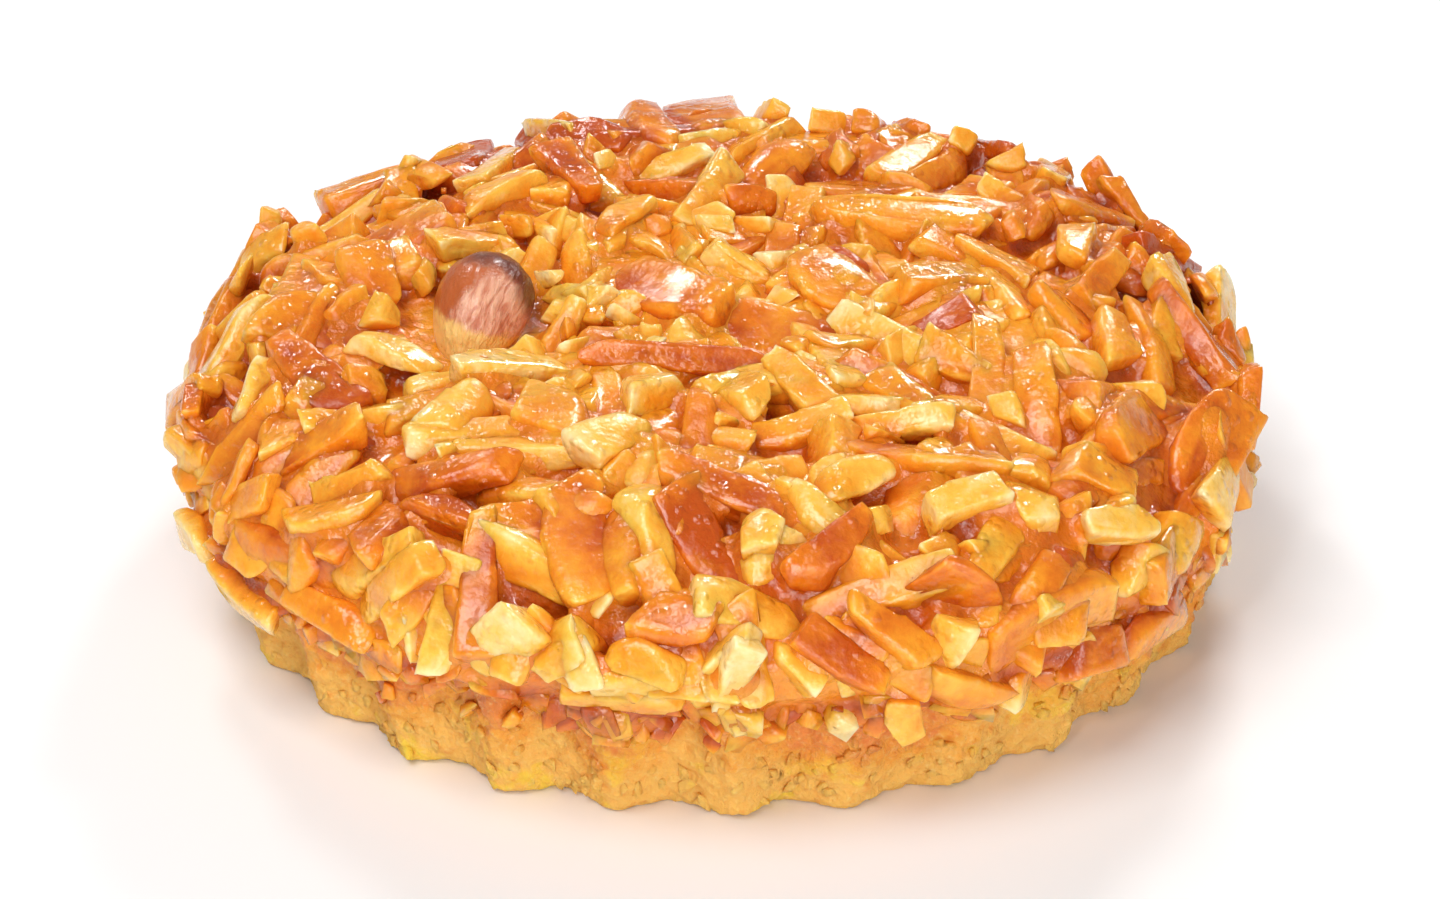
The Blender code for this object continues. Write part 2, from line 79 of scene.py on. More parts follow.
# Shortcrust shell
SHELL_HEIGHT = 14.0 * MM
BASE_RADIUS = 49.3 * MM
RIM_RADIUS = 52.4 * MM
FLUTES = 28
FLUTE_DEPTH = 2.6 * MM
FLUTE_SHARPNESS = 1.25
FIRST_RIDGE = math.radians(-88.5)
BASE_CHAMFER = 0.7 * MM
RIM_ROUNDING = 1.6 * MM
SHELL_CRAGS = 0.35 * MM
RIDGE_ROUNDING = 0.16

# Caramel crown
SEAT_GAP = 0.3 * MM
CROWN_EDGE = 51.2 * MM
CROWN_HEIGHT = 11.4 * MM
CROWN_SHOULDER = 8.0

# Caramel between the nuts: steps round it, rows of the dome as shares of the way out, and the
# foot of the skirt that hangs over the rim, in mm: its level, and how much lower or higher the
# front, the drips and the small waves bring it
CORE_STEPS = 160
CORE_SHARES = [0.995, 0.985, 0.96, 0.92, 0.86, 0.76, 0.62, 0.47, 0.3, 0.12]
SKIRT_LEVEL = 11.2
SKIRT_FRONT = 1.6
SKIRT_DRIPS = 2.0
SKIRT_WAVES = 1.2

# Bed that the nuts are laid on
BED_SINK = 1.2 * MM
BED_CELL = 0.6 * MM
BED_REACH = 76 * MM
WALL_CLEARANCE = 0.5 * MM
WALL_FOOT = 5 * MM
WALL_THINNING = 0.75
WALL_SHORTENING = 0.8
PUSH = 0.4 * MM
PUSHES = 16
SHELL_CLEARANCE = 0.35 * MM
NUTS_LAID = 228
SPOTS_TRIED = 12
TRIES = 4000
LOWEST_CONTACT = 0.35
MOST_TIPPED = 0.35
HEAP_LIMIT = (5.0 * MM, 4.0 * MM)
SHOWPIECE_LIMIT = (6.3 * MM, 5.0 * MM)
REACH = 56.0 * MM
DRAPE = (7.5 * MM, 3.0 * MM)
SEED = 11

# Half almond with its skin on
ALMOND_LENGTH = 14.5 * MM
ALMOND_WIDTH = 9.6 * MM
ALMOND_THICKNESS = 5.4 * MM
ALMOND_PLACE = (-23.5 * MM, -0.5 * MM)
ALMOND_TURN = math.radians(76)
ALMOND_TILT = math.radians(20)
ALMOND_ROOM = 0.9 * MM
ALMOND_TAPER = 0.2

# View that the nuts that stand out are placed by
VIEW_ELEVATION = math.radians(30)
VIEW_DISTANCE = 490 * MM
VIEW_LEVEL = 11 * MM
VIEW_LENS = 122.5
VIEW_SENSOR = 36

# Nuts that stand out: kind, place in the view (right, up), length, width, thickness in mm,
# slant of the length in the view and how far its far end is raised, in degrees, and how toasted
# the nut is, from pale (0) to dark caramel (1).
SHOWPIECES = [
    # back edge
    ("slab", -7, 31, 14, 6, 4, -62, 20, 0.55),
    ("slab", -2, 32, 12, 9, 3, -40, 25, 0.62),
    ("chunk", -7, 28, 6, 6, 5, 10, 0, 0.6),
    ("stick", -2, 24, 13, 4, 3.5, 52, 8, 0.3),
    ("slab", 4.5, 27, 14, 6, 4, 62, 25, 0.5),
    ("slab", 18, 21, 19, 5, 4, -4, 0, 0.32),
    ("slab", 25.5, 19.5, 13, 8, 4, -8, 14, 0.4),
    ("stick", 42.5, 18.5, 13, 4, 3, -8, 0, 0.97),
    ("slab", -26, 31, 12, 6, 3, 42, 18, 0.95),
    ("stick", -17, 31, 14, 5, 3, -20, 10, 0.9),
    # left
    ("slab", -31, 20, 11, 7, 3.5, 8, 8, 0.45),
    ("slab", -40, 12, 12, 9, 3.5, -5, 12, 0.45),
    ("stick", -47, 10, 15, 4.5, 3.5, 50, 10, 0.15),
    ("stick", -40, 6.5, 14, 6, 3.5, -32, 10, 0.65),
    ("stick", -43, -1.5, 20, 5, 4, 27, 8, 0.5),
    ("stick", -41, -10.5, 17, 5.5, 4, -24, 0, 0.55),
    ("stick", -26.5, -3.5, 14, 4.5, 4, 0, 0, 0.66),
    # middle
    ("stick", -21, 6.5, 13, 5, 3.5, 17, 8, 0.12),
    ("slab", -5, 14, 15, 7, 4, -27, 8, 0.52),
    ("stick", -4.5, 7.5, 19, 3.5, 3.5, 2, 0, 0.72),
    ("slab", 10.5, 15, 10, 8, 4, -35, 20, 0.4),
    ("chunk", -16.5, 2, 9, 8, 5, 70, 15, 0.3),
    ("stick", 18, 6, 15, 4.5, 4, -6, 8, 0.55),
    ("stick", 18, 1.5, 11, 4, 3.5, -2, 0, 0.12),
    ("stick", 27, 7, 15, 4, 4, 82, 18, 0.4),
    ("stick", 31.5, 5, 14, 4.5, 4, 88, 18, 0.42),
    ("slab", 20.5, -2, 16, 5, 4, -3, 12, 0.36),
    # right
    ("stick", 46, 11, 14, 4, 3.5, -42, 8, 0.7),
    ("slab", 49.5, 10.5, 9, 5, 3, -35, 15, 0.1),
    ("slab", 47.5, -0.5, 13, 8, 3.5, 72, 10, 0.62),
    ("stick", 37, -7, 9, 3.5, 3.5, 0, 0, 0.12),
    # front
    ("slab", -14, -9, 15, 7, 5, -72, 12, 0.42),
    ("stick", -7.5, -8.5, 12, 4.5, 4, -62, 12, 0.14),
    ("stick", -2, -8.5, 12, 6, 4.5, -48, 10, 0.6),
    ("stick", -23.5, -13.5, 15, 4.5, 3.5, 84, -18, 0.6),
    ("chunk", 2.5, -15, 11, 5, 4.5, 2, 0, 0.12),
    ("slab", 15.5, -13.5, 16, 4.5, 4, 13, 0, 0.16),
    ("slab", 31, -16.5, 15, 7, 4, 20, 0, 0.5),
    ("stick", 16, -18, 11, 4, 4, -35, 0, 0.5),
]

# Smaller nuts between them, given the same way, which only the dressed tart has
BETWEEN = [
    # back
    ("stick", -16, 33, 10, 3.5, 3, -5, 0, 0.15),
    ("stick", 5, 33, 8, 4, 3, 70, 0, 0.3),
    ("stick", 10.5, 31.5, 9, 4, 3, 45, 0, 0.3),
    ("stick", 15, 33, 9, 4, 3, 75, 0, 0.5),
    ("stick", 18.5, 32.5, 9, 3.6, 3, -40, 0, 0.6),
    ("stick", 23.5, 29, 8, 3.6, 3, 80, 0, 0.3),
    ("chunk", 28, 28, 8, 5, 3.5, 55, 0, 0.35),
    ("stick", 32, 26, 9, 4, 3.2, 30, 0, 0.35),
    ("stick", 28, 31.5, 8, 3.4, 3, -30, 0, 0.85),
    ("stick", 36, 22.8, 13, 5, 3.5, -5, 0, 0.5),
    ("slab", 44.5, 22, 10, 6, 3, -60, 0, 0.7),
    ("slab", -13, 29.8, 11, 5, 3.4, -5, 0, 0.8),
    ("stick", -15, 25.5, 11, 5, 3.5, -50, 0, 0.7),
    ("stick", -22, 23.8, 11, 4.6, 3.4, 22, 0, 0.28),
    ("stick", -33.5, 26, 13, 4.5, 3.4, 25, 0, 0.4),
    ("stick", -31, 30, 8, 4, 3, 50, 0, 0.3),
    ("stick", -40, 20, 10, 4, 3, -75, 0, 0.3),
    ("stick", -46, 20.5, 9, 4, 3, 35, 0, 0.35),
    ("stick", -47.5, 15.5, 13, 4, 3, 45, 0, 0.3),
    ("chunk", -35, 16, 9, 6, 3.6, -60, 0, 0.5),
    ("stick", -9.5, 21, 9, 4.4, 3.2, 40, 0, 0.35),
    ("stick", -25, 19, 10, 4, 3, 15, 0, 0.35),
    # middle
    ("stick", -14, 14.5, 8.5, 4.4, 3.4, -25, 0, 0.08),
    ("stick", 2.5, 17.3, 9, 3.4, 3, 0, 0, 0.12),
    ("stick", 12, 17, 8, 3.4, 3, -45, 0, 0.8),
    ("stick", 21.5, 15, 10, 4.6, 3.4, 15, 0, 0.4),
    ("chunk", 22.5, 11, 8, 4.4, 3.4, 5, 0, 0.85),
    ("stick", 35, 18, 8, 4, 3, 70, 0, 0.4),
    ("stick", 37.5, 15, 9, 4, 3, 50, 0, 0.5),
    ("chunk", 34, 12.5, 8, 5, 3.4, -20, 0, 0.5),
    ("chunk", 43.5, 15, 9, 5, 3.4, -60, 0, 0.2),
    ("stick", 39, 10.5, 9, 4.2, 3.2, -70, 0, 0.4),
    ("chunk", 36.5, 5, 8, 5.4, 3.6, 50, 0, 0.5),
    ("chunk", -26, 2, 9, 5.4, 3.6, 40, 0, 0.18),
    ("stick", -32.5, 8.5, 10, 3.6, 3, -15, 0, 0.15),
    ("chunk", -11, -0.5, 8.5, 5.4, 3.6, 30, 0, 0.08),
    ("chunk", -7, 4, 7, 4.4, 3.4, 15, 0, 0.12),
    ("chunk", 2, 4.5, 8.5, 6.2, 3.6, -25, 0, 0.2),
    ("stick", 8, 5, 10, 4.4, 3.4, -45, 0, 0.22),
    ("stick", -2.5, 1.5, 9.5, 4.6, 3.6, -80, 0, 0.55),
    ("chunk", 11, -0.5, 7, 5.4, 3.6, 80, 0, 0.3),
    ("stick", 0.5, -5.5, 14, 4.4, 3.4, -18, 0, 0.66),
    ("stick", 13, -4, 9.5, 4.4, 3.4, 25, 0, 0.26),
    ("stick", 23.5, -6.5, 8.5, 4, 3.2, 12, 0, 0.12),
    ("chunk", 30, -6.5, 6.5, 5, 3.6, -80, 0, 0.16),
    ("stick", 10.5, -10, 10.5, 4.6, 3.6, 42, 0, 0.72),
    ("chunk", 4, -9.5, 6, 4.4, 3.4, 60, 0, 0.18),
    ("stick", 26, -10.5, 10, 4.4, 3.4, 60, 0, 0.22),
    ("stick", 29.5, -12.5, 8, 3.6, 3, 48, 0, 0.5),
    ("chunk", 32.5, -11, 5.5, 4.2, 3.2, 80, 0, 0.75),
    ("chunk", 37, -3, 9.5, 5.2, 3.6, -15, 0, 0.4),
    ("slab", 40, 1.5, 12, 6.4, 3.4, 45, 0, 0.5),
    ("chunk", 42, -9.5, 8.5, 5, 3.4, 40, 0, 0.45),
    ("chunk", 50, -7, 9, 6, 3.4, 60, 0, 0.22),
    ("chunk", 52, 5, 7, 4, 3, 80, 0, 0.6),
    # front and left
    ("chunk", 22, -19, 6.5, 4.8, 3.6, 85, 0, 0.16),
    ("chunk", -20, -18, 8, 5.8, 4, 30, 0, 0.12),
    ("chunk", -14, -18, 7, 5.8, 4, -35, 0, 0.4),
    ("stick", -6.5, -18.5, 8, 4.2, 3.2, -20, 0, 0.3),
    ("stick", 1, -20.5, 8, 4.2, 3.2, 55, 0, 0.1),
    ("chunk", -4, -16, 8.5, 5.2, 3.6, -15, 0, 0.6),
    ("chunk", -32.5, -8.5, 8, 5.2, 3.6, 60, 0, 0.62),
    ("stick", -31, -13, 12, 4.4, 3.4, 28, 0, 0.25),
    ("stick", -37.5, -6.5, 11, 5.2, 3.6, 20, 0, 0.32),
    ("chunk", -49.5, 2, 9.5, 5.4, 3.4, -70, 0, 0.5),
    ("stick", -45, 5, 8, 3.6, 3, 80, 0, 0.12),
]

# Nuts that hang over the rim, given the same way
FRINGE = [
    ("chunk", -14, -23.5, 7, 4.2, 3, -80, 0, 0.1),
    ("chunk", -16, -22.5, 6.5, 5, 3.5, 20, 0, 0.25),
    ("stick", -8, -21.5, 8, 4, 3, 8, 0, 0.2),
    ("chunk", -1, -24, 7, 3.6, 3, -65, 0, 0.1),
    ("chunk", -4.5, -24, 6, 4, 3, 30, 0, 0.35),
    ("stick", 1, -21.5, 8, 3.6, 3, 62, 0, 0.08),
    ("chunk", 3, -25.5, 6.5, 5, 3.5, 12, 0, 0.2),
    ("chunk", 7, -22.5, 6, 4, 3.2, -30, 0, 0.15),
    ("stick", 12, -24, 10, 4, 2.8, -30, 0, 0.75),
    ("stick", 15.5, -25.2, 8.5, 3.6, 2.6, -32, 0, 0.15),
    ("chunk", 18.5, -24, 5.5, 4, 3, -70, 0, 0.3),
    ("stick", 16, -21.8, 9.5, 3.6, 3, 8, 0, 0.22),
    ("stick", 24, -22, 11, 4, 3, -22, 0, 0.4),
    ("chunk", 29.5, -21, 5, 4.2, 3, 15, 0, 0.15),
    ("chunk", 37.5, -17.8, 8.5, 5.5, 3.4, 15, 0, 0.62),
    ("stick", 43.5, -15, 13, 4, 3, 27, 0, 0.5),
    ("chunk", 46, -11.5, 8, 6, 3.4, 75, 0, 0.3),
    ("stick", 51, -6, 13, 4.4, 3, 66, 0, 0.62),
    ("stick", -46.5, -12.5, 13, 4, 3, -35, 0, 0.2),
    ("bit", -44, -15.6, 4.4, 4, 3, 10, 0, 0.1),
    ("stick", -38.5, -16.5, 12, 4, 3, -24, 0, 0.5),
    ("chunk", -31, -18.5, 7, 4, 3, 40, 0, 0.35),
    ("stick", -26.5, -20, 9, 3.5, 3, 62, 0, 0.6),
    ("stick", -49.5, -2, 9, 5, 3.4, -72, 0, 0.3),
    ("chunk", -51.5, -6, 7, 5, 3, 80, 0, 0.4),
]

FRINGE_FOOT = 7.5 * MM

# Nuts laid by chance: the share of each kind, and length, width and thickness in mm, from least
# to most
CHOPPED_SHARES = {"stick": 0.52, "slab": 0.16, "chunk": 0.32}
CHOPPED = {
    "stick": ((10, 17), (3.6, 5), (3, 4)),
    "slab": ((9, 13.5), (6, 8.5), (2.6, 3.6)),
    "chunk": ((5, 8.5), (4.5, 6.5), (3.6, 4.8)),
}

# Crumbs of nut and pastry that stick to the wall under the heap
CRUMBS = 420
PASTRY_CRUMBS = 500
CRUMB_LEVEL = 14.6 * MM
CRUMB_SPREAD = (1.4 * MM, 1.6 * MM)
CRUMB_SPIN = 6.3

# Nut pieces, by the kind of their nuts
NUT_PIECES = {
    "stick": "slivered_almonds",
    "slab": "almond_slabs",
    "chunk": "almond_chunks",
    "bit": "almond_bits",
    "crumb": "almond_crumbs",
}

# Nut shapes: cuts through a kernel of this size, remeshed in cells of this size, both in mm,
# worn by smoothing, brought down to so many faces, and bumpy to this depth
KERNEL = (24.0, 13.0, 8.6)
SHAPES_PER_KIND = 9
NUT_CELL = 0.45
NUT_WEAR = 9
NUT_FACES = {"stick": 420, "slab": 460, "chunk": 320, "bit": 90, "crumb": 48, "pastry": 36}
NUT_MARGIN = 0.99
NUT_UNEVENNESS = 0.36 * MM

# What changes how toasted a nut looks, on the scale of 0 to 1: its edges are paler, and its top
# and what caramel soaks are darker; what lies deep in a gap is darker too, partly from caramel
# pooled there and partly as painted shade
PALE_EDGES = 0.36
ALL_PALER = 0.02
DARK_TOPS = 0.14
GAP_CARAMEL_AND_SHADE = 0.5
SOAKED = 0.16

# Smaller ones that fill the gaps and stick to the wall: length, width and thickness in mm, from
# least to most
FILLER_SHARES = {"stick": 0.4, "chunk": 0.35, "bit": 0.25}
FILLERS = {
    "stick": ((7, 11), (3.2, 4.6), (2.8, 3.8)),
    "chunk": ((4.5, 7), (3.8, 5.5), (3, 4.4)),
    "bit": ((2.4, 4.6), (2, 3.6), (1.8, 3)),
    "crumb": ((2.2, 5.6), (1.7, 3.8), (1.4, 2.8)),
    "pastry": ((0.8, 2.0), (0.7, 1.5), (0.5, 0.8)),
}
FILLERS_LAID = 150
FILLER_SPOTS = 30
DEEP_GAP = 2.2 * MM
GAP_DEPTH = 2.6 * MM

# Softboxes: name, place, size, the setting that gives its power, and its share of that
SOFTBOXES = [
    ("key", (-0.22, -0.22, 0.66), 0.42, "key", 1),
    ("back", (0.16, 0.5, 0.36), 0.12, "back", 1),
    ("glint", (-0.22, 0.46, 0.4), 0.09, "back", 0.5),
    ("fill", (0.2, -0.8, 0.22), 0.5, "fill", 1),
    ("sparkle", (-0.14, -0.5, 0.5), 0.06, "back", 0.3),
]

Nut = namedtuple("Nut", "kind length width thick matrix toast")


# Bed and laying of the nuts


def ridge_radius(height):
    """Radius of the tin at its ridges, at this height."""
    return BASE_RADIUS + (RIM_RADIUS - BASE_RADIUS) * height / SHELL_HEIGHT


def crown_curve(share, grow):
    """Radius and height on the caramel crown, at this share of the way out to its edge."""
    height = (CROWN_HEIGHT + grow) * math.sqrt(1 - share**CROWN_SHOULDER)
    return (CROWN_EDGE + grow) * share, SHELL_HEIGHT + SEAT_GAP + height


class NutBed:
    """The surface that carries the nuts, over the crown, round the rim and down the fluted wall,
    and the height of the nuts laid on it so far. The height is kept on a flat round map, where a
    point is its distance along the surface from the middle, in its own direction."""

    def __init__(self):
        shares = [math.sin(math.pi / 2 * i / 120) ** (2 / CROWN_SHOULDER) for i in range(121)]
        crown = [crown_curve(share, -BED_SINK) for share in shares]
        wall = [
            (ridge_radius(height) + WALL_CLEARANCE, height)
            for height in np.linspace(SHELL_HEIGHT - 0.5 * MM, WALL_FOOT, 30)
        ]
        curve = np.array(crown + wall)
        steps = np.hypot(*np.diff(curve, axis=0).T)
        run = np.concatenate([[0], np.cumsum(steps)])
        self.run = np.arange(0, run[-1], 0.5 * MM)
        self.radius = np.interp(self.run, run, curve[:, 0])
        self.level = np.interp(self.run, run, curve[:, 1])
        self.rim = run[len(crown) - 1]
        slope = np.array([np.gradient(self.radius), np.gradient(self.level)])
        slope /= np.hypot(*slope)
        self.normal = np.array([-slope[1], slope[0]])
        cells = int(2 * BED_REACH / BED_CELL)
        self.height = np.zeros((cells, cells))

    def frame(self, run, turn):
        """Point, outward normal and downhill direction at a place of the bed."""
        radius, level = (np.interp(run, self.run, x) for x in (self.radius, self.level))
        out, up = (np.interp(run, self.run, x) for x in self.normal)
        size = math.hypot(out, up)
        out, up = out / size, up / size
        side = np.array([math.cos(turn), math.sin(turn), 0])
        high = np.array([0, 0, 1.0])
        return side * radius + high * level, side * out + high * up, side * up - high * out

    def seen_at(self, across, up):
        """Place on the bed that the view shows there, as a run and a turn."""
        run, turn = np.meshgrid(self.run, np.linspace(-math.pi, math.pi, 721), indexing="ij")
        radius, level = self.radius[:, None], self.level[:, None]
        out, high = self.normal[0][:, None], self.normal[1][:, None]
        x, y, z = radius * np.cos(turn), radius * np.sin(turn), level + 2 * MM - VIEW_LEVEL
        sin, cos = math.sin(VIEW_ELEVATION), math.cos(VIEW_ELEVATION)
        scale = VIEW_DISTANCE / (VIEW_DISTANCE + y * cos - z * sin)
        miss = np.hypot(x * scale - across, (z * cos + y * sin) * scale - up)
        turned_away = out * -np.sin(turn) * cos + high * sin < 0.1
        best = np.unravel_index(np.argmin(miss + turned_away), miss.shape)
        return float(run[best]), float(turn[best])

    def cells(self, run, turn):
        place = np.array([run * np.cos(turn), run * np.sin(turn)])
        return tuple(((place + BED_REACH) / BED_CELL).astype(int).clip(0, len(self.height) - 1))

    def over(self, points):
        """For each point, its cell of the map and its distance above the bare bed."""
        away = np.hypot(points[:, 0], points[:, 1])
        gap = np.hypot(
            away[:, None] - self.radius[None, :], points[:, 2][:, None] - self.level[None, :]
        )
        near = gap.argmin(1)
        out = (away - self.radius[near]) * self.normal[0, near]
        up = (points[:, 2] - self.level[near]) * self.normal[1, near]
        return self.cells(self.run[near], np.arctan2(points[:, 1], points[:, 0])), out + up


def samples(length, width, level, step):
    """Points on a flat rectangle in the nut's own frame, at this level."""
    across = np.linspace(-0.5, 0.5, max(3, int(length / step)))
    side = np.linspace(-0.5, 0.5, max(3, int(width / step)))
    x, y = np.meshgrid(across * length, side * width, indexing="ij")
    return np.stack([x.ravel(), y.ravel(), np.full(x.size, level)], axis=1)


def moved(points, matrix):
    """The points, as rows, moved by the matrix."""
    matrix = np.array(matrix)
    return points @ matrix[:3, :3].T + matrix[:3, 3]


def outwards(turn):
    return Vector((math.cos(turn), math.sin(turn), 0))


def rotation(axes, roll, pitch):
    """The axes, as columns, turned about the nut's own length and width."""
    turned = Matrix(axes.tolist()) @ Matrix.Rotation(roll, 3, "X") @ Matrix.Rotation(pitch, 3, "Y")
    return np.array(turned)


def lay(bed, kind, size, run, turn, heading, roll, pitch, limit):
    """Lays one nut on the heap: it tips to follow what is under it and sinks until it touches,
    or further to keep its top within the limit. Heading is measured from the downhill line."""
    length, width, thick = size
    centre, normal, downhill = bed.frame(run, turn)
    along = downhill * math.cos(heading) + np.cross(normal, downhill) * math.sin(heading)
    axes = np.stack([along, np.cross(normal, along), normal], axis=1)
    under = samples(length * 0.9, width * 0.8, -thick / 2, 2 * MM)
    for _ in range(2):
        cell, gap = bed.over(under @ axes.T + centre)
        gap = gap - bed.height[cell]
        fit = np.linalg.lstsq(np.c_[under[:, :2], np.ones(len(under))], gap, rcond=None)[0]
        tip = np.clip(np.arctan(fit[:2]), -MOST_TIPPED, MOST_TIPPED)
        axes = rotation(axes, -tip[1], tip[0])
        cell, gap = bed.over(under @ axes.T + centre)
        centre = centre - normal * np.quantile(gap - bed.height[cell], LOWEST_CONTACT)
    axes = rotation(axes, roll, pitch)
    corners = samples(length * 0.8, width * 0.8, thick / 2, length) @ axes.T + centre
    over = bed.over(corners)[1].max()
    most = np.interp(run, [bed.rim - 6 * MM, bed.rim + 2 * MM], limit)
    centre = centre - normal * max(0, over - most)
    matrix = Matrix.Translation(centre) @ Matrix(axes.tolist()).to_4x4()
    return moved_clear(Nut(kind, length, width, thick, matrix, 0), turn)


def moved_clear(nut, turn):
    """The nut, moved a little at a time until it is inside the heap's reach and off the crust:
    inwards where it sticks out, upwards across the rim, outwards beside the wall."""
    out = outwards(turn)
    for _ in range(PUSHES):
        if widest(nut) > REACH:
            step = -out
        elif not meets_shell(nut):
            break
        elif nut.matrix.translation.z > SHELL_HEIGHT:
            step = Vector((0, 0, 1))
        else:
            step = out
        nut = nut._replace(matrix=Matrix.Translation(step * PUSH) @ nut.matrix)
    return nut


def widest(nut):
    points = nut_points(nut, Matrix())
    return float(np.hypot(points[:, 0], points[:, 1]).max())


def raise_heap(bed, nut):
    top = samples(nut.length * 0.9, nut.width * 0.85, nut.thick / 2, 0.5 * MM)
    cell, level = bed.over(moved(top, nut.matrix))
    np.maximum.at(bed.height, cell, level)


def nut_points(nut, matrix):
    """Points all over the nut's box, moved by the matrix."""
    layers = [samples(nut.length, nut.width, nut.thick * x, 1.2 * MM) for x in (-0.5, 0, 0.5)]
    return moved(np.concatenate(layers), matrix @ nut.matrix)


def meets_almond(nut, to_almond):
    """Whether the nut comes within the room that is kept round the half almond."""
    points = nut_points(nut, to_almond)
    size = np.array([ALMOND_LENGTH / 2, ALMOND_WIDTH / 2, ALMOND_THICKNESS]) + ALMOND_ROOM
    inside = np.sum((points / size) ** 2, axis=1) < 1
    return bool(np.any(inside & (points[:, 2] > -ALMOND_ROOM)))


def meets_shell(nut):
    """Whether the nut comes too near the crust, or under the crown's edge."""
    points = nut_points(nut, Matrix())
    above = points[:, 2] - SHELL_HEIGHT
    beside = np.hypot(points[:, 0], points[:, 1]) - ridge_radius(points[:, 2])
    return bool(np.any(np.maximum(above, beside) < SHELL_CLEARANCE))


def out_of_bounds(nut):
    """Whether the nut sticks out past the heap's reach or hangs too low on the crust."""
    lowest = DRAPE[0] + DRAPE[1] * max(0, -nut.matrix.translation.normalized().y) ** 2
    return bool(widest(nut) > REACH or nut_points(nut, Matrix())[:, 2].min() < lowest)


def fits(nut, to_almond):
    return not (meets_almond(nut, to_almond) or meets_shell(nut) or out_of_bounds(nut))


def chosen_size(spans, draw):
    """Length, width and thickness of one nut, each within its span in mm."""
    return [draw.uniform(*span) * MM for span in spans]


def chosen_kind(shares, draw):
    return draw.choices(list(shares), list(shares.values()))[0]


def chosen_spot(bed, draw):
    """Run and turn of a spot anywhere on the heap."""
    run = (bed.rim + 7 * MM) * math.sqrt(draw.random())
    return run, draw.uniform(-math.pi, math.pi)


def scattered_nut(bed, draw):
    """A nut of chance size, put down on the lowest of a few spots, so that the crown fills."""
    kind = chosen_kind(CHOPPED_SHARES, draw)
    size = chosen_size(CHOPPED[kind], draw)
    spots = []
    for _ in range(SPOTS_TRIED):
        run, turn = chosen_spot(bed, draw)
        cell = bed.cells(run, turn)
        spots.append((float(bed.height[cell]) + draw.uniform(0, 1) * MM, run, turn))
    _, run, turn = min(spots)
    if run > bed.rim - 2 * MM:
        size = (size[0] * WALL_SHORTENING, size[1], size[2] * WALL_THINNING)
    heading = draw.uniform(0, math.pi)
    roll, pitch = draw.gauss(0, 0.2), draw.gauss(0, 0.07)
    return lay(bed, kind, size, run, turn, heading, roll, pitch, HEAP_LIMIT)


def showpiece(bed, row):
    """One of the nuts that stand out, where and as the view shows it."""
    kind, across, up, length, width, thick, slant, raised, toast = row
    run, turn = bed.seen_at(across * MM, up * MM)
    _, normal, downhill = bed.frame(run, turn)
    side = np.cross(normal, downhill)
    right = np.array([1.0, 0, 0])
    high = np.array([0, math.sin(VIEW_ELEVATION), math.cos(VIEW_ELEVATION)])
    shown = np.array([[downhill @ right, side @ right], [downhill @ high, side @ high]])
    wanted = [math.cos(math.radians(slant)), math.sin(math.radians(slant))]
    if wanted[1] < 0:
        wanted = [-wanted[0], -wanted[1]]
    part = np.linalg.solve(shown, wanted)
    heading = math.atan2(part[1], part[0])
    size = (length * MM, width * MM, thick * MM)
    pitch = -math.radians(raised)
    nut = lay(bed, kind, size, run, turn, heading, 0, pitch, SHOWPIECE_LIMIT)
    return nut._replace(toast=toast)


def almond_matrix():
    """Place of the half almond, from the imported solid's own box."""
    low, high = (Vector(corner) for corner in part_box("half_almond"))
    turned = Matrix.Rotation(ALMOND_TURN, 4, "Z") @ Matrix.Rotation(-ALMOND_TILT, 4, "Y")
    points = almond_points(16, 8)
    placed = np.array([turned @ Vector(point) for point in points])
    shift = high.z - placed[:, 2].max()
    return Matrix.Translation((*ALMOND_PLACE, shift)) @ turned


def almond_points(steps, rings):
    """Points over the half almond, in its own frame."""
    points = []
    for i in range(rings + 1):
        angle = math.pi / 2 * i / rings
        for j in range(steps):
            turn = math.tau * j / steps
            width = ALMOND_WIDTH / 2 * math.sin(turn) * (1 + ALMOND_TAPER * math.cos(turn))
            place = Vector((ALMOND_LENGTH / 2 * math.cos(turn), width, 0)) * math.cos(angle)
            points.append(place + Vector((0, 0, ALMOND_THICKNESS * math.sin(angle))))
    return points


def natural_toast(place, draw):
    """How toasted a nut is: palest in the middle, darkest at the back and round the rim."""
    out = min(1, math.hypot(place.x, place.y) / REACH)
    back = place.y / REACH
    right = place.x / REACH
    toast = 0.22 + 0.26 * out**2 + 0.1 * back + 0.04 * right + draw.gauss(0, 0.13)
    return min(0.72, max(0.03, toast))


@lru_cache(maxsize=1)
def laid_nuts():
    """All the nuts: those laid by chance, the ones that stand out, then small bits in the gaps."""
    draw = random.Random(SEED)
    tint = random.Random(SEED + 5)
    bed = NutBed()
    to_almond = almond_matrix().inverted()
    nuts = []
    for _ in range(TRIES):
        nut = scattered_nut(bed, draw)
        if fits(nut, to_almond):
            raise_heap(bed, nut)
            nuts.append(nut._replace(toast=natural_toast(nut.matrix.translation, tint)))
        if len(nuts) == NUTS_LAID:
            break
    for row in SHOWPIECES:
        nut = showpiece(bed, row)
        if fits(nut, to_almond):
            raise_heap(bed, nut)
            nuts.append(nut)
    for row in BETWEEN + FRINGE:
        nut = showpiece(bed, row)
        lowest = nut_points(nut, Matrix())[:, 2].min()
        if not (meets_almond(nut, to_almond) or lowest < FRINGE_FOOT or widest(nut) > REACH):
            raise_heap(bed, nut)
            nuts.append(nut)
    nuts += fillers(bed, to_almond, tint)
    return nuts + wall_crumbs(), bed


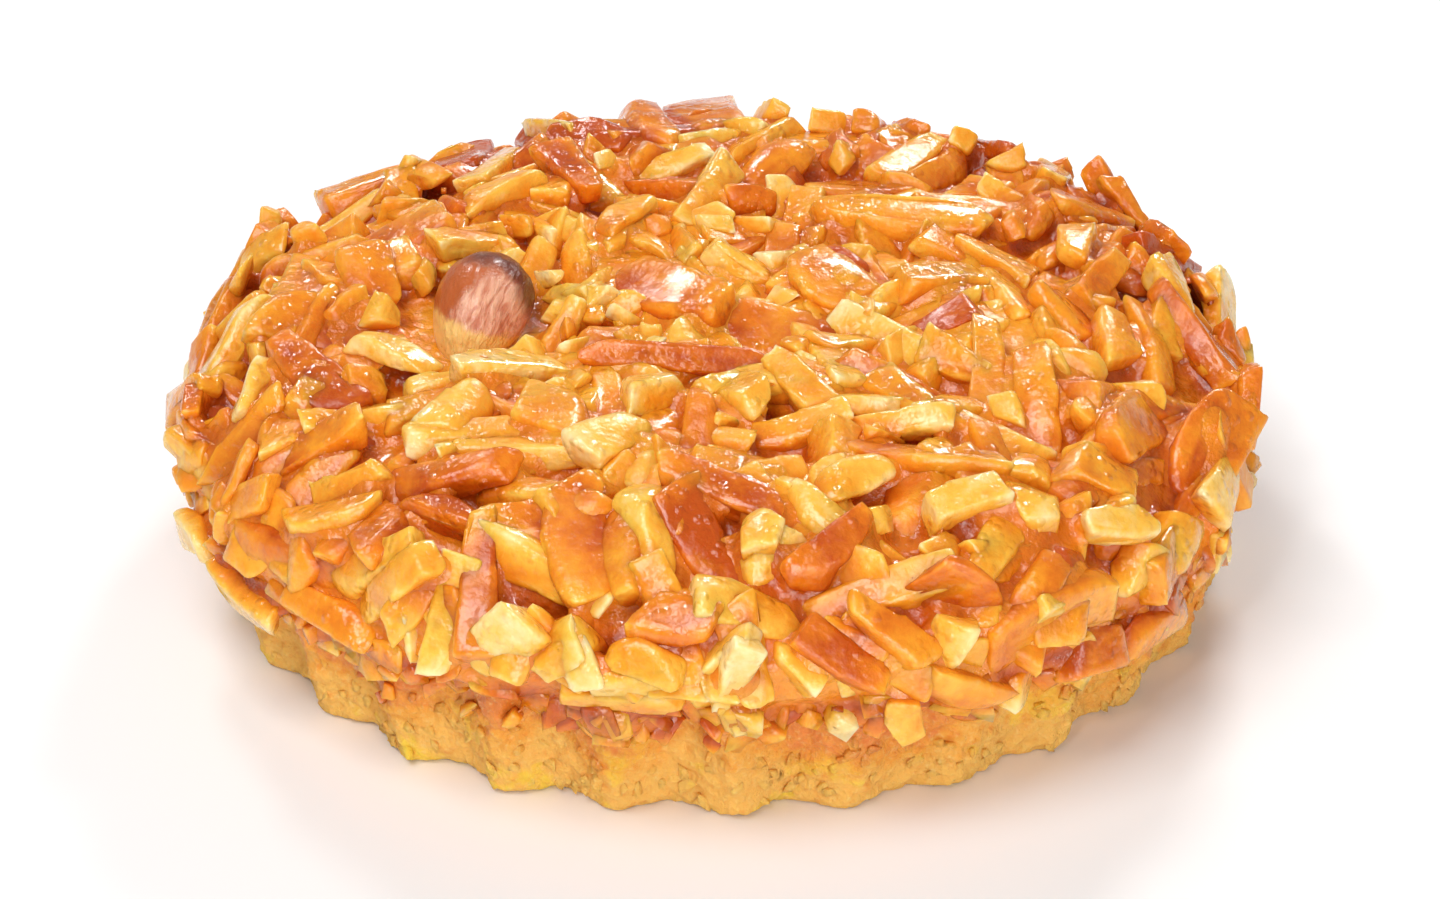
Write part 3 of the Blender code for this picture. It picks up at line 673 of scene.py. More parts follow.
def pastry_crumbs():
    """Crumbs of pastry that stand out all over the fluted wall, half sunk in it."""
    draw = random.Random(SEED + 4)
    crumbs = []
    for _ in range(PASTRY_CRUMBS):
        turn = draw.uniform(-math.pi, math.pi)
        level = draw.uniform(0.05, 0.95) * SHELL_HEIGHT
        size = chosen_size(FILLERS["pastry"], draw)
        place = Vector(shell_outline(turn, level, 0, 0))
        turned = stuck_on(outwards(turn), draw)
        crumbs.append(Nut("pastry", *size, Matrix.Translation(place) @ turned.to_4x4(), 0))
    return crumbs


def stuck_on(out, draw):
    """Axes of a crumb that lies flat against the wall, turned any way."""
    spin = Matrix.Rotation(draw.uniform(0, CRUMB_SPIN), 3, "Z")
    return out.to_track_quat("Z", "Y").to_matrix() @ spin


def wall_crumbs():
    """Crumbs stuck to the fluted wall, most of them in front, where the heap hangs lowest."""
    draw = random.Random(SEED + 3)
    crumbs = []
    for _ in range(CRUMBS):
        turn = draw.uniform(-math.pi, math.pi)
        front = max(0, -math.sin(turn))
        fall = abs(draw.gauss(0, 1)) * (CRUMB_SPREAD[0] + CRUMB_SPREAD[1] * front)
        level = max(CRUMB_LEVEL - fall, WALL_FOOT)
        shrink = np.interp(level, [SHELL_HEIGHT - 6 * MM, SHELL_HEIGHT - 3 * MM], [0.35, 1])
        size = [side * float(shrink) for side in chosen_size(FILLERS["crumb"], draw)]
        place = Vector(shell_outline(turn, min(level, SHELL_HEIGHT), 0, 0))
        place.z = level
        out = outwards(turn)
        place += out * size[2] * draw.uniform(0.05, 0.35)
        turned = stuck_on(out, draw) @ Matrix.Rotation(draw.gauss(0, 0.4), 3, "X")
        matrix = Matrix.Translation(place) @ turned.to_4x4()
        toast = min(0.9, max(0.15, draw.gauss(0.52, 0.18)))
        crumbs.append(Nut("crumb", *size, matrix, toast))
    return crumbs


def fillers(bed, to_almond, tint):
    """Shorter nuts and bits that fell into the gaps, for as long as there are low ones."""
    draw = random.Random(SEED + 2)
    laid = []
    for _ in range(TRIES):
        spots = []
        for _ in range(FILLER_SPOTS):
            run, turn = chosen_spot(bed, draw)
            spots.append((float(bed.height[bed.cells(run, turn)]), run, turn))
        low, run, turn = min(spots)
        if low > DEEP_GAP:
            continue
        kind = chosen_kind(FILLER_SHARES, draw)
        size = chosen_size(FILLERS[kind], draw)
        lie = [draw.uniform(0, math.pi), draw.gauss(0, 0.4), draw.gauss(0, 0.25)]
        nut = lay(bed, kind, size, run, turn, *lie, HEAP_LIMIT)
        if fits(nut, to_almond):
            raise_heap(bed, nut)
            laid.append(nut._replace(toast=natural_toast(nut.matrix.translation, tint)))
        if len(laid) == FILLERS_LAID:
            break
    return laid


# Modelling


def deselect():
    if bpy.context.object and bpy.context.object.mode != "OBJECT":
        bpy.ops.object.mode_set(mode="OBJECT")
    bpy.ops.object.select_all(action="DESELECT")


def only(thing):
    """Makes this object the one that operators act on."""
    deselect()
    thing.select_set(True)
    bpy.context.view_layer.objects.active = thing


def editing(thing):
    only(thing)
    bpy.ops.object.mode_set(mode="EDIT")
    bpy.ops.mesh.select_all(action="SELECT")


def vectors_of(mesh, name):
    """This vector of each corner of the mesh, as rows."""
    vectors = np.empty(len(mesh.vertices) * 3)
    mesh.vertices.foreach_get(name, vectors)
    return vectors.reshape(-1, 3)


def corners_of(mesh):
    return vectors_of(mesh, "co")


def normals_of(mesh):
    return vectors_of(mesh, "normal")


def move_corners(mesh, corners):
    mesh.vertices.foreach_set("co", np.asarray(corners, dtype=np.float32).ravel())
    mesh.update()


def in_order(mesh, digits=7):
    """Puts the corners and sides in one fixed order, so that each run gives the same mesh: the
    fill and remesh tools leave them in any order, and apart in the last digit."""
    corners = corners_of(mesh).round(digits)
    order = np.lexsort(corners.T)
    rank = np.empty(len(order), dtype=int)
    rank[order] = np.arange(len(order))
    sides = []
    for polygon in mesh.polygons:
        side = [int(rank[corner]) for corner in polygon.vertices]
        first = side.index(min(side))
        sides.append(side[first:] + side[:first])
    mesh.clear_geometry()
    mesh.from_pydata(corners[order].tolist(), [], sorted(sides))


def apply_modifier(thing, kind, **values):
    only(thing)
    modifier = thing.modifiers.new(kind.lower(), kind)
    for name, value in values.items():
        setattr(modifier, name, value)
    bpy.ops.object.modifier_apply(modifier=modifier.name)


def kept_in_box(thing):
    """Holds the piece inside the solid model's box."""
    low, high = (np.array(corner) for corner in CAD_BOX)
    move_corners(thing.data, corners_of(thing.data).clip(low + 0.01 * MM, high - 0.01 * MM))


def finished(thing, finish, slot, *replaced):
    """Gives a piece its material, and ties it to the model."""
    thing.data.materials.clear()
    thing.data.materials.append(finish)
    kept_in_box(thing)
    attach(thing, "root")
    if replaced:
        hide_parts(*replaced)


def piece_of_kernel(cuts, faces):
    """Cuts a kernel with planes, each a point and a direction in mm, and wears its edges round.
    The result is turned so that its length lies along X, and fills a box of unit sides."""
    deselect()
    bpy.ops.mesh.primitive_uv_sphere_add(segments=28, ring_count=18, radius=0.5)
    kernel = bpy.context.object
    bpy.ops.object.mode_set(mode="EDIT")
    bpy.ops.transform.resize(value=KERNEL[::-1])
    bpy.ops.object.mode_set(mode="OBJECT")
    in_order(kernel.data, 4)
    for place, direction in cuts:
        editing(kernel)
        bpy.ops.mesh.bisect(plane_co=place, plane_no=direction, use_fill=True, clear_outer=True)
        bpy.ops.object.mode_set(mode="OBJECT")
        in_order(kernel.data, 4)
    apply_modifier(kernel, "REMESH", mode="VOXEL", voxel_size=NUT_CELL)
    in_order(kernel.data)
    apply_modifier(kernel, "SMOOTH", factor=0.5, iterations=NUT_WEAR)
    ratio = min(1, faces / (2 * len(kernel.data.polygons)))
    apply_modifier(kernel, "DECIMATE", ratio=ratio)
    corners = corners_of(kernel.data)
    corners = np.stack([corners[:, 2], corners[:, 1], -corners[:, 0]], axis=1)
    low, high = corners.min(0), corners.max(0)
    corners = (corners - (low + high) / 2) / (high - low)
    sides = [tuple(polygon.vertices) for polygon in kernel.data.polygons]
    bpy.data.objects.remove(kernel)
    return corners, sides


def cuts_for(kind, draw):
    """Knife cuts through the kernel, whose length is Z, width Y and thickness X, in mm. Some
    pieces keep a side of the kernel's own rounded outside."""

    def tilted(axis, amount):
        direction = [draw.uniform(-amount, amount) for _ in range(3)]
        direction["xyz".index(axis[1])] = 1 if axis[0] == "+" else -1
        return direction

    if kind == "stick":
        top = draw.choice([draw.uniform(1.2, 2.4), draw.uniform(2.8, 3.6), 4.3])
        side = draw.uniform(-3.6, 3.6)
        return [
            ((top, 0, 0), tilted("+x", 0.1)),
            ((top - 3.4, 0, 0), tilted("-x", 0.1)),
            ((0, side + 2, 0), tilted("+y", 0.12)),
            ((0, side - 2, 0), tilted("-y", 0.12)),
            ((0, 0, draw.uniform(7, 11.5)), tilted("+z", 0.6)),
            ((0, 0, -draw.uniform(5, 10)), tilted("-z", 0.6)),
        ]
    if kind == "slab":
        top = draw.choice([draw.uniform(1, 2), draw.uniform(2.6, 3.4)])
        return [
            ((top, 0, 0), tilted("+x", 0.1)),
            ((top - 3.2, 0, 0), tilted("-x", 0.1)),
            ((0, draw.uniform(1, 4), 0), tilted("+y", 0.15)),
            ((0, 0, draw.uniform(6, 10)), tilted("+z", 0.5)),
            ((0, 0, -draw.uniform(7, 12)), tilted("-z", 0.4)),
        ]
    half = 3.2 if kind == "chunk" else 2.4
    end = draw.uniform(-6, 6)
    side = draw.choice([0, 6.5 - half * 0.9])
    top = draw.choice([half * 0.8, 4.3])
    return [
        ((top, 0, 0), tilted("+x", 0.3)),
        ((top - half * 1.6, 0, 0), tilted("-x", 0.3)),
        ((0, side + half * 0.9, 0), tilted("+y", 0.35)),
        ((0, side - half, 0), tilted("-y", 0.35)),
        ((0, 0, end + half * 1.1), tilted("+z", 0.5)),
        ((0, 0, end - half * 1.1), tilted("-z", 0.5)),
    ]


def bent(corners, draw):
    """The same nut, bowed, twisted and narrowed a little, as no two are alike."""
    x, y, z = corners.T
    bow, sway = draw.uniform(-0.35, 0.35), draw.uniform(-0.3, 0.3)
    twist, narrow = draw.uniform(-0.25, 0.25), draw.uniform(-0.25, 0.25)
    sin, cos = np.sin(twist * x), np.cos(twist * x)
    y, z = y * cos - z * sin, z * cos + y * sin
    y, z = y * (1 + narrow * x), z * (1 + narrow * x)
    z = z + bow * (0.083 - x * x)
    y = y + sway * (0.083 - x * x)
    made = np.stack([x, y, z], axis=1)
    low, high = made.min(0), made.max(0)
    return (made - (low + high) / 2) / (high - low) * NUT_MARGIN


def uneven(place, draw):
    """Small bumps and hollows, so that no face is quite flat. Without a seed, noise_vector gives
    other values at each start."""
    noise.seed_set(SEED)
    shift = Vector([draw.uniform(0, 99) for _ in range(3)])
    return np.array([noise.noise_vector(Vector(p) / (2.6 * MM) + shift) for p in place])


def joined_nuts(name, kind, nuts, bed, draw):
    """All the nuts of one kind, as one piece. Its toast attribute says how toasted each place is:
    most on the faces that lie upwards and deep in the gaps, least along the cut edges. Deep in the
    gaps the darkening is partly caramel pooled there and partly painted shade."""
    shapes = [
        piece_of_kernel(cuts_for(kind, draw), NUT_FACES[kind]) for _ in range(SHAPES_PER_KIND)
    ]
    corners, faces, toast, count = [], [], [], 0
    for nut in nuts:
        shape, sides = draw.choice(shapes)
        flips = draw.choice([(1, 1, 1), (-1, -1, 1), (1, -1, -1), (-1, 1, -1)])
        shape = bent(shape * flips, draw)
        edge = np.clip((np.abs(2 * shape) ** 6).sum(1) - 0.9, 0, 1)
        shape = shape * (nut.length, nut.width, nut.thick)
        shape += uneven(shape, draw) * NUT_UNEVENNESS
        corners.append(moved(shape, nut.matrix))
        faces += [[corner + count for corner in side] for side in sides]
        toast.append(nut.toast - PALE_EDGES * edge)
        count += len(shape)
    corners = np.concatenate(corners)
    mesh = bpy.data.meshes.new(name)
    mesh.from_pydata(corners.tolist(), [], faces)
    up = normals_of(mesh)[:, 2].clip(0, 1)
    toast = np.concatenate(toast) - ALL_PALER + DARK_TOPS * up
    # The gap term darkens nuts deep between the others: partly caramel pooled there, partly painted
    # shade.
    note(mesh, "toast", toast + GAP_CARAMEL_AND_SHADE * gap_depth(bed, corners))
    mesh.shade_smooth()
    made = bpy.data.objects.new(name, mesh)
    bpy.context.scene.collection.objects.link(made)
    return made


def gap_depth(bed, points):
    """How deep each point lies under the tops of the nuts round it, from 0 to 1."""
    spread = bed.height
    for _ in range(6):
        beside = sum(np.roll(spread, step, axis) for step in (1, -1) for axis in (0, 1))
        spread = (spread + beside) / 5
    depth = np.empty(len(points))
    for i in range(0, len(points), 20000):
        cell, level = bed.over(points[i:i + 20000])
        depth[i:i + 20000] = spread[cell] - level
    return (depth / GAP_DEPTH).clip(0, 1)


def note(mesh, name, values):
    """Keeps values on the mesh's points, for a material to read."""
    attribute = mesh.attributes.new(name, "FLOAT", "POINT")
    attribute.data.foreach_set("value", np.asarray(values, dtype=np.float32))


# Materials


class Value:
    """A socket that Python's operators turn into shader maths."""

    def __init__(self, nodes, socket):
        self.nodes, self.socket = nodes, socket

    def maths(self, operation, first, second, clamp=False):
        return self.nodes.add(
            "ShaderNodeMath", {"operation": operation, "use_clamp": clamp}, {0: first, 1: second}
        )

    def __add__(self, other):
        return self.maths("ADD", self, other)

    def __radd__(self, other):
        return self.maths("ADD", other, self)

    def __sub__(self, other):
        return self.maths("SUBTRACT", self, other)

    def __rsub__(self, other):
        return self.maths("SUBTRACT", other, self)

    def __mul__(self, other):
        return self.maths("MULTIPLY", self, other)

    def __rmul__(self, other):
        return self.maths("MULTIPLY", other, self)

    def __pow__(self, other):
        return self.maths("POWER", self, other)

    def clamped(self):
        return self.maths("ADD", self, 0, clamp=True)


class Finish:
    """A material, and the ways to add to its nodes."""

    def __init__(self, name, **uniform):
        self.material = bpy.data.materials.new(name)
        self.material.use_nodes = True
        self.tree = self.material.node_tree
        self.surface = self.tree.nodes["Principled BSDF"]
        for socket, value in uniform.items():
            self.surface.inputs[socket.replace("_", " ")].default_value = value
        self.place = self.add("ShaderNodeTexCoord", {}, {}, "Object")

    def add(self, kind, settings, inputs, output=0):
        node = self.tree.nodes.new(kind)
        for name, value in settings.items():
            if name == "stops":
                ramp = node.color_ramp
                while len(ramp.elements) < len(value):
                    ramp.elements.new(0.5)
                for element, (position, colour) in zip(ramp.elements, value):
                    element.position, element.color = position, (*colour, 1)
            else:
                setattr(node, name, value)
        for name, value in inputs.items():
            if isinstance(value, Value):
                self.tree.links.new(value.socket, node.inputs[name])
            else:
                node.inputs[name].default_value = value
        return Value(self, node.outputs[output])

    def noise(self, size, detail=3, roughness=0.5, distortion=0, where=None):
        """Noise whose features are about this size in metres."""
        values = {
            "Vector": where or self.place, "Scale": 1 / size, "Detail": detail,
            "Roughness": roughness, "Distortion": distortion,
        }
        return self.add("ShaderNodeTexNoise", {}, values, "Fac")

    def voronoi(self, size):
        """Distance from the nearest of scattered points this far apart, as a share of size."""
        values = {"Vector": self.place, "Scale": 1 / size}
        return self.add("ShaderNodeTexVoronoi", {}, values, "Distance")

    def between(self, value, low, high):
        """0 below low, 1 above high, smooth between."""
        inputs = {"Value": value, "From Min": low, "From Max": high}
        return self.add("ShaderNodeMapRange", {"interpolation_type": "SMOOTHSTEP"}, inputs)

    def ramp(self, value, stops):
        return self.add("ShaderNodeValToRGB", {"stops": stops}, {0: value}, "Color")

    def mix(self, share, first, second):
        inputs = {0: share, 6: first, 7: second}
        return self.add("ShaderNodeMix", {"data_type": "RGBA"}, inputs, 2)

    def axis(self, name):
        return self.add("ShaderNodeSeparateXYZ", {}, {0: self.place}, name)

    def attribute(self, name):
        return self.add("ShaderNodeAttribute", {"attribute_name": name}, {}, "Fac")

    def relief(self, height, depth, strength):
        """Bump from a 0 to 1 height that stands for this depth in metres."""
        inputs = {"Height": height, "Distance": depth, "Strength": strength}
        self.feed(Normal=self.add("ShaderNodeBump", {}, inputs, "Normal"))

    def feed(self, **sockets):
        for name, value in sockets.items():
            self.tree.links.new(value.socket, self.surface.inputs[name.replace("_", " ")])


def toasted(settings):
    """Ramp from pale nut to dark caramel."""
    return [
        (0.0, tuple(settings.pale)),
        (0.28, tuple(settings.golden)),
        (0.52, tuple(settings.orange)),
        (0.76, tuple(settings.amber)),
        (1.0, tuple(settings.dark)),
    ]


def nut_finish(settings):
    """Toasted almond with caramel soaked into its edges and patches of clear glaze."""
    finish = Finish(
        "toasted_almond", Subsurface_Weight=0.35, Subsurface_Scale=1.0,
        Subsurface_Radius=(0.002, 0.0014, 0.0008), Coat_Roughness=0.11, IOR=1.45,
        Specular_IOR_Level=0.6,
    )
    patches = finish.noise(3.6 * MM, detail=4, roughness=0.6)
    grain = finish.noise(1.1 * MM, detail=4, roughness=0.6)
    blisters = finish.noise(0.6 * MM, detail=2, roughness=0.5)
    heat = finish.attribute("toast") + (patches - 0.5) * 0.75 + (grain - 0.5) * 0.2
    glazed = finish.between(finish.noise(6 * MM, detail=3), 0.42, 0.58)
    specks = finish.between(finish.noise(1.4 * MM, detail=3), 0.7, 0.78)
    specks = specks * finish.between(finish.noise(13 * MM, detail=1), 0.52, 0.6)
    beads = (1 - finish.voronoi(1.3 * MM) * 2.4).clamped()
    almond = finish.ramp(heat.clamped(), toasted(settings))
    finish.feed(
        Base_Color=finish.mix(specks * 0.7, almond, (*settings.burnt, 1)),
        Roughness=0.34 - 0.24 * glazed + (grain - 0.5) * 0.15,
        Coat_Weight=0.1 + 0.35 * glazed,
    )
    dents = finish.noise(2 * MM, detail=2, roughness=0.5)
    finish.relief(
        grain * 0.3 + patches * 0.5 + dents * 0.8 + blisters * 0.12 + beads * glazed * 0.6,
        0.5 * MM, 0.85,
    )
    return finish.material


def caramel_finish(settings):
    """Clear amber caramel: golden in the middle of the tart, red-brown near the rim, and darker
    deep between the nuts, partly as thicker caramel and partly as painted shade.
    """
    finish = Finish(
        "amber_caramel", Subsurface_Weight=0.2, Subsurface_Scale=1.0,
        Subsurface_Radius=(0.002, 0.0012, 0.0006), Coat_Roughness=0.06, Coat_Weight=0.4, IOR=1.45,
        Specular_IOR_Level=0.55,
    )
    x, y = finish.axis("X"), finish.axis("Y")
    out = (x * x + y * y) ** 0.5 * (1 / REACH)
    patches = finish.noise(6 * MM, detail=3, roughness=0.6)
    # The deep attribute darkens caramel deep between the nuts: partly thicker caramel, partly
    # painted shade.
    heat = 0.05 + 0.4 * out + y * 2.0 + (patches - 0.5) * 0.7 + finish.attribute("deep") * 0.5
    fine = finish.noise(0.8 * MM, detail=3)
    bubbles = 1 - finish.voronoi(1.7 * MM) * 1.4
    finish.feed(
        Base_Color=finish.ramp(heat.clamped(), [
            (0.0, tuple(settings.golden)),
            (0.4, tuple(settings.amber)),
            (0.75, tuple(settings.red)),
            (1.0, tuple(settings.burnt)),
        ]),
        Roughness=0.1 + (fine - 0.5) * 0.1,
    )
    finish.relief(fine * 0.6 + patches * 0.8 + bubbles.clamped() * 0.5, 0.7 * MM, 0.8)
    return finish.material


def crust_finish(settings):
    """Crumbly shortcrust: yellow below, toasted and caramel-soaked towards the rim."""
    finish = Finish(
        "shortcrust_crumb", Subsurface_Weight=0.2, Subsurface_Scale=1.0,
        Subsurface_Radius=(0.003, 0.0015, 0.0006), IOR=1.4, Coat_Roughness=0.2,
    )
    height = finish.axis("Z") * (1 / SHELL_HEIGHT)
    patches = finish.noise(9 * MM, detail=4, roughness=0.6)
    crumbs = finish.noise(1.3 * MM, detail=5, roughness=0.65)
    pits = finish.noise(0.5 * MM, detail=4, roughness=0.6)
    side = finish.axis("X") * finish.axis("X") * (1 / REACH**2)
    heat = finish.between(
        height + side * 0.25 + (patches - 0.5) * 1.5 + (crumbs - 0.5) * 0.5, 0.2, 0.9
    )
    yellow = finish.between(finish.noise(6 * MM, detail=4, roughness=0.65), 0.52, 0.66)
    baked = finish.ramp(heat, [
        (0.0, tuple(settings.crumb)),
        (0.55, tuple(settings.baked)),
        (1.0, tuple(settings.toasted)),
    ])
    lit = finish.mix(yellow * (1 - heat) * 0.7, baked, (*settings.yellow, 1))
    pale = finish.mix(finish.between(pits, 0.5, 0.75) * 0.4, lit, (*settings.pale, 1))
    speckled = finish.mix(finish.between(crumbs, 0.52, 0.75) * 0.45, pale, (*settings.toasted, 1))
    finish.feed(
        Base_Color=speckled,
        Roughness=0.72 - 0.35 * heat,
        Coat_Weight=finish.between(heat, 0.5, 1.0) * 0.6,
    )
    finish.relief(crumbs * 0.8 + pits * 0.5, 0.8 * MM, 0.9)
    return finish.material


def skin_finish(settings):
    """Almond skin: rust-brown on one side, wrinkled on the other and lighter there from painted
    highlights on the crests of the wrinkles, purple-brown at the far end, and worn off to the bare
    nut at the near end and along the foot."""
    finish = Finish(
        "almond_skin", Subsurface_Weight=0.2, Subsurface_Scale=1.0,
        Subsurface_Radius=(0.002, 0.0008, 0.0003), Coat_Roughness=0.15, IOR=1.42,
        Specular_IOR_Level=0.35,
    )
    along, lift = finish.attribute("along"), finish.attribute("lift")
    across = finish.attribute("across")
    patches = finish.noise(2.6 * MM, detail=4, roughness=0.6)
    stretched = {0: across * 16, 1: along * 5, 2: lift * 5}
    lengthwise = finish.add("ShaderNodeCombineXYZ", {}, stretched)
    wrinkles = finish.noise(1, detail=3, roughness=0.55, distortion=0.6, where=lengthwise)
    worn = finish.between((0.4 - across) + (patches - 0.5) * 0.5 - (along - 0.6) * 0.7, -0.08, 0.1)
    # Crests of the wrinkles get a painted highlight, hollows keep the skin's own colour.
    highlighted_wrinkles = finish.mix(
        finish.between(wrinkles, 0.35, 0.65), (*settings.skin, 1), (*settings.crest_highlight, 1)
    )
    skin = finish.mix(worn, (*settings.rust, 1), highlighted_wrinkles)
    end = finish.between(along + (patches - 0.5) * 0.3 + (0.5 - across) * 0.3, 0.6, 0.8)
    skin = finish.mix(end, skin, (*settings.skin_dark, 1))
    bare = 1 - finish.between(
        along + lift * 0.45 - across * 0.24 + (patches - 0.5) * 0.3, 0.3, 0.42
    )
    finish.feed(
        Base_Color=finish.mix(bare, skin, (*settings.flesh, 1)),
        Roughness=0.32 + (wrinkles - 0.5) * 0.2,
        Coat_Weight=0.1 + 0.4 * patches,
    )
    finish.relief(wrinkles * (0.25 + 0.75 * worn) + patches * 0.6, 0.6 * MM, 0.8)
    return finish.material


def floor_finish(settings):
    finish = Finish("pale_floor", Roughness=0.6)
    pale = tuple(settings.floor)
    dull = tuple(part * 0.985 for part in pale)
    finish.feed(Base_Color=finish.mix(finish.noise(0.4, detail=1), (*pale, 1), (*dull, 1)))
    return finish.material


# Settings


def colour(name, description, value):
    return FloatVectorProperty(
        name=name, description=description, default=value, size=3, subtype="COLOR", min=0, max=1
    )


class CrustSettings(bpy.types.PropertyGroup):
    """Sizes and colours of the shell."""

    steps: IntProperty(name="Steps", description="Steps round the wall per flute", default=30)
    rows: IntProperty(name="Rows", description="Rows up the wall", default=38)
    crags: FloatProperty(
        name="Crags", description="Depth of the crumbly relief", default=0.7 * MM, unit="LENGTH"
    )
    pale: colour("Pale", "Lightest crumbs", (0.97, 0.7, 0.26))
    crumb: colour("Crumb", "Pale golden pastry", (0.92, 0.5, 0.105))
    yellow: colour("Yellow", "Eggy yellow patches", (0.93, 0.64, 0.04))
    baked: colour("Baked", "Golden brown pastry", (0.89, 0.37, 0.045))
    toasted: colour("Toasted", "Pastry soaked with caramel at the rim", (0.8, 0.22, 0.02))


class NutSettings(bpy.types.PropertyGroup):
    """Colours of the chopped almonds."""

    pale: colour("Pale", "Bare almond", (1.0, 0.77, 0.38))
    golden: colour("Golden", "Lightly toasted almond", (0.96, 0.52, 0.065))
    orange: colour("Orange", "Toasted almond", (0.9, 0.34, 0.018))
    # Amber and dark are also reached deep in the gaps, where they serve partly as painted shade.
    amber: colour("Amber", "Almond soaked in caramel", (0.76, 0.2, 0.008))
    dark: colour("Dark", "Almost burnt almond", (0.52, 0.08, 0.003))
    burnt: colour("Burnt", "Specks of burnt caramel", (0.3, 0.05, 0.008))


class CaramelSettings(bpy.types.PropertyGroup):
    """Thickness and colours of the caramel between the nuts."""

    cell: FloatProperty(
        name="Cell", description="Finest detail of the caramel", default=0.75 * MM, unit="LENGTH"
    )
    smoothing: IntProperty(
        name="Smoothing", description="How far the caramel rounds off the heap", default=6
    )
    sink: FloatProperty(
        name="Sink", description="How far it lies below the nuts' faces", default=0.45 * MM,
        unit="LENGTH",
    )
    soaking: FloatProperty(
        name="Soaking", description="How far caramel creeps up the nuts", default=0.9 * MM,
        unit="LENGTH",
    )
    golden: colour("Golden", "Thin caramel in the middle", (0.94, 0.46, 0.03))
    amber: colour("Amber", "Caramel", (0.78, 0.22, 0.012))
    # Red and burnt are also reached deep in the gaps, where they are partly painted shade.
    red: colour("Red", "Thick caramel", (0.52, 0.085, 0.004))
    burnt: colour("Burnt", "Dark caramel at the rim", (0.24, 0.024, 0.002))


class SkinSettings(bpy.types.PropertyGroup):
    """Colours of the half almond."""

    rust: colour("Rust", "Smooth brown skin", (0.5, 0.115, 0.025))
    skin: colour("Skin", "Hollows of the wrinkled skin", (0.6, 0.2, 0.11))
    # The light skin colour is a painted highlight on the crests of the wrinkles.
    crest_highlight: colour("Light skin", "Crests of the wrinkled skin", (0.85, 0.46, 0.3))
    skin_dark: colour("Dark skin", "Roasted end", (0.17, 0.035, 0.014))
    flesh: colour("Flesh", "Bare nut", (0.97, 0.62, 0.2))


class StageSettings(bpy.types.PropertyGroup):
    """Floor and light."""

    floor: colour("Floor", "Pale floor", (0.93, 0.93, 0.93))
    key: FloatProperty(name="Key", description="Main softbox", default=3.1, unit="POWER")
    back: FloatProperty(name="Back", description="Light from behind", default=1.5, unit="POWER")
    fill: FloatProperty(name="Fill", description="Light from the front", default=3.9, unit="POWER")
    sky: FloatProperty(name="Sky", description="Light from all round", default=0.2)


# Pieces


def shell_outline(turn, height, inset, crags):
    """Point on the fluted wall, crumbly and a little uneven."""
    wave = math.sin(FLUTES * (turn - FIRST_RIDGE) / 2) ** 2
    valley = (math.sqrt(wave + RIDGE_ROUNDING**2) - RIDGE_ROUNDING) ** FLUTE_SHARPNESS
    share = 1 + 0.18 * math.sin(3 * turn + 1) + 0.12 * math.sin(7 * turn)
    radius = ridge_radius(height) - FLUTE_DEPTH * share * valley - inset
    place = Vector((math.cos(turn) * radius, math.sin(turn) * radius, height))
    radius += noise.noise(place / (4 * MM)) * SHELL_CRAGS
    fine = 0.6 * noise.noise(place / (1.8 * MM)) + 0.7 * noise.noise(place / (0.9 * MM))
    radius += fine * crags
    return math.cos(turn) * radius, math.sin(turn) * radius, height


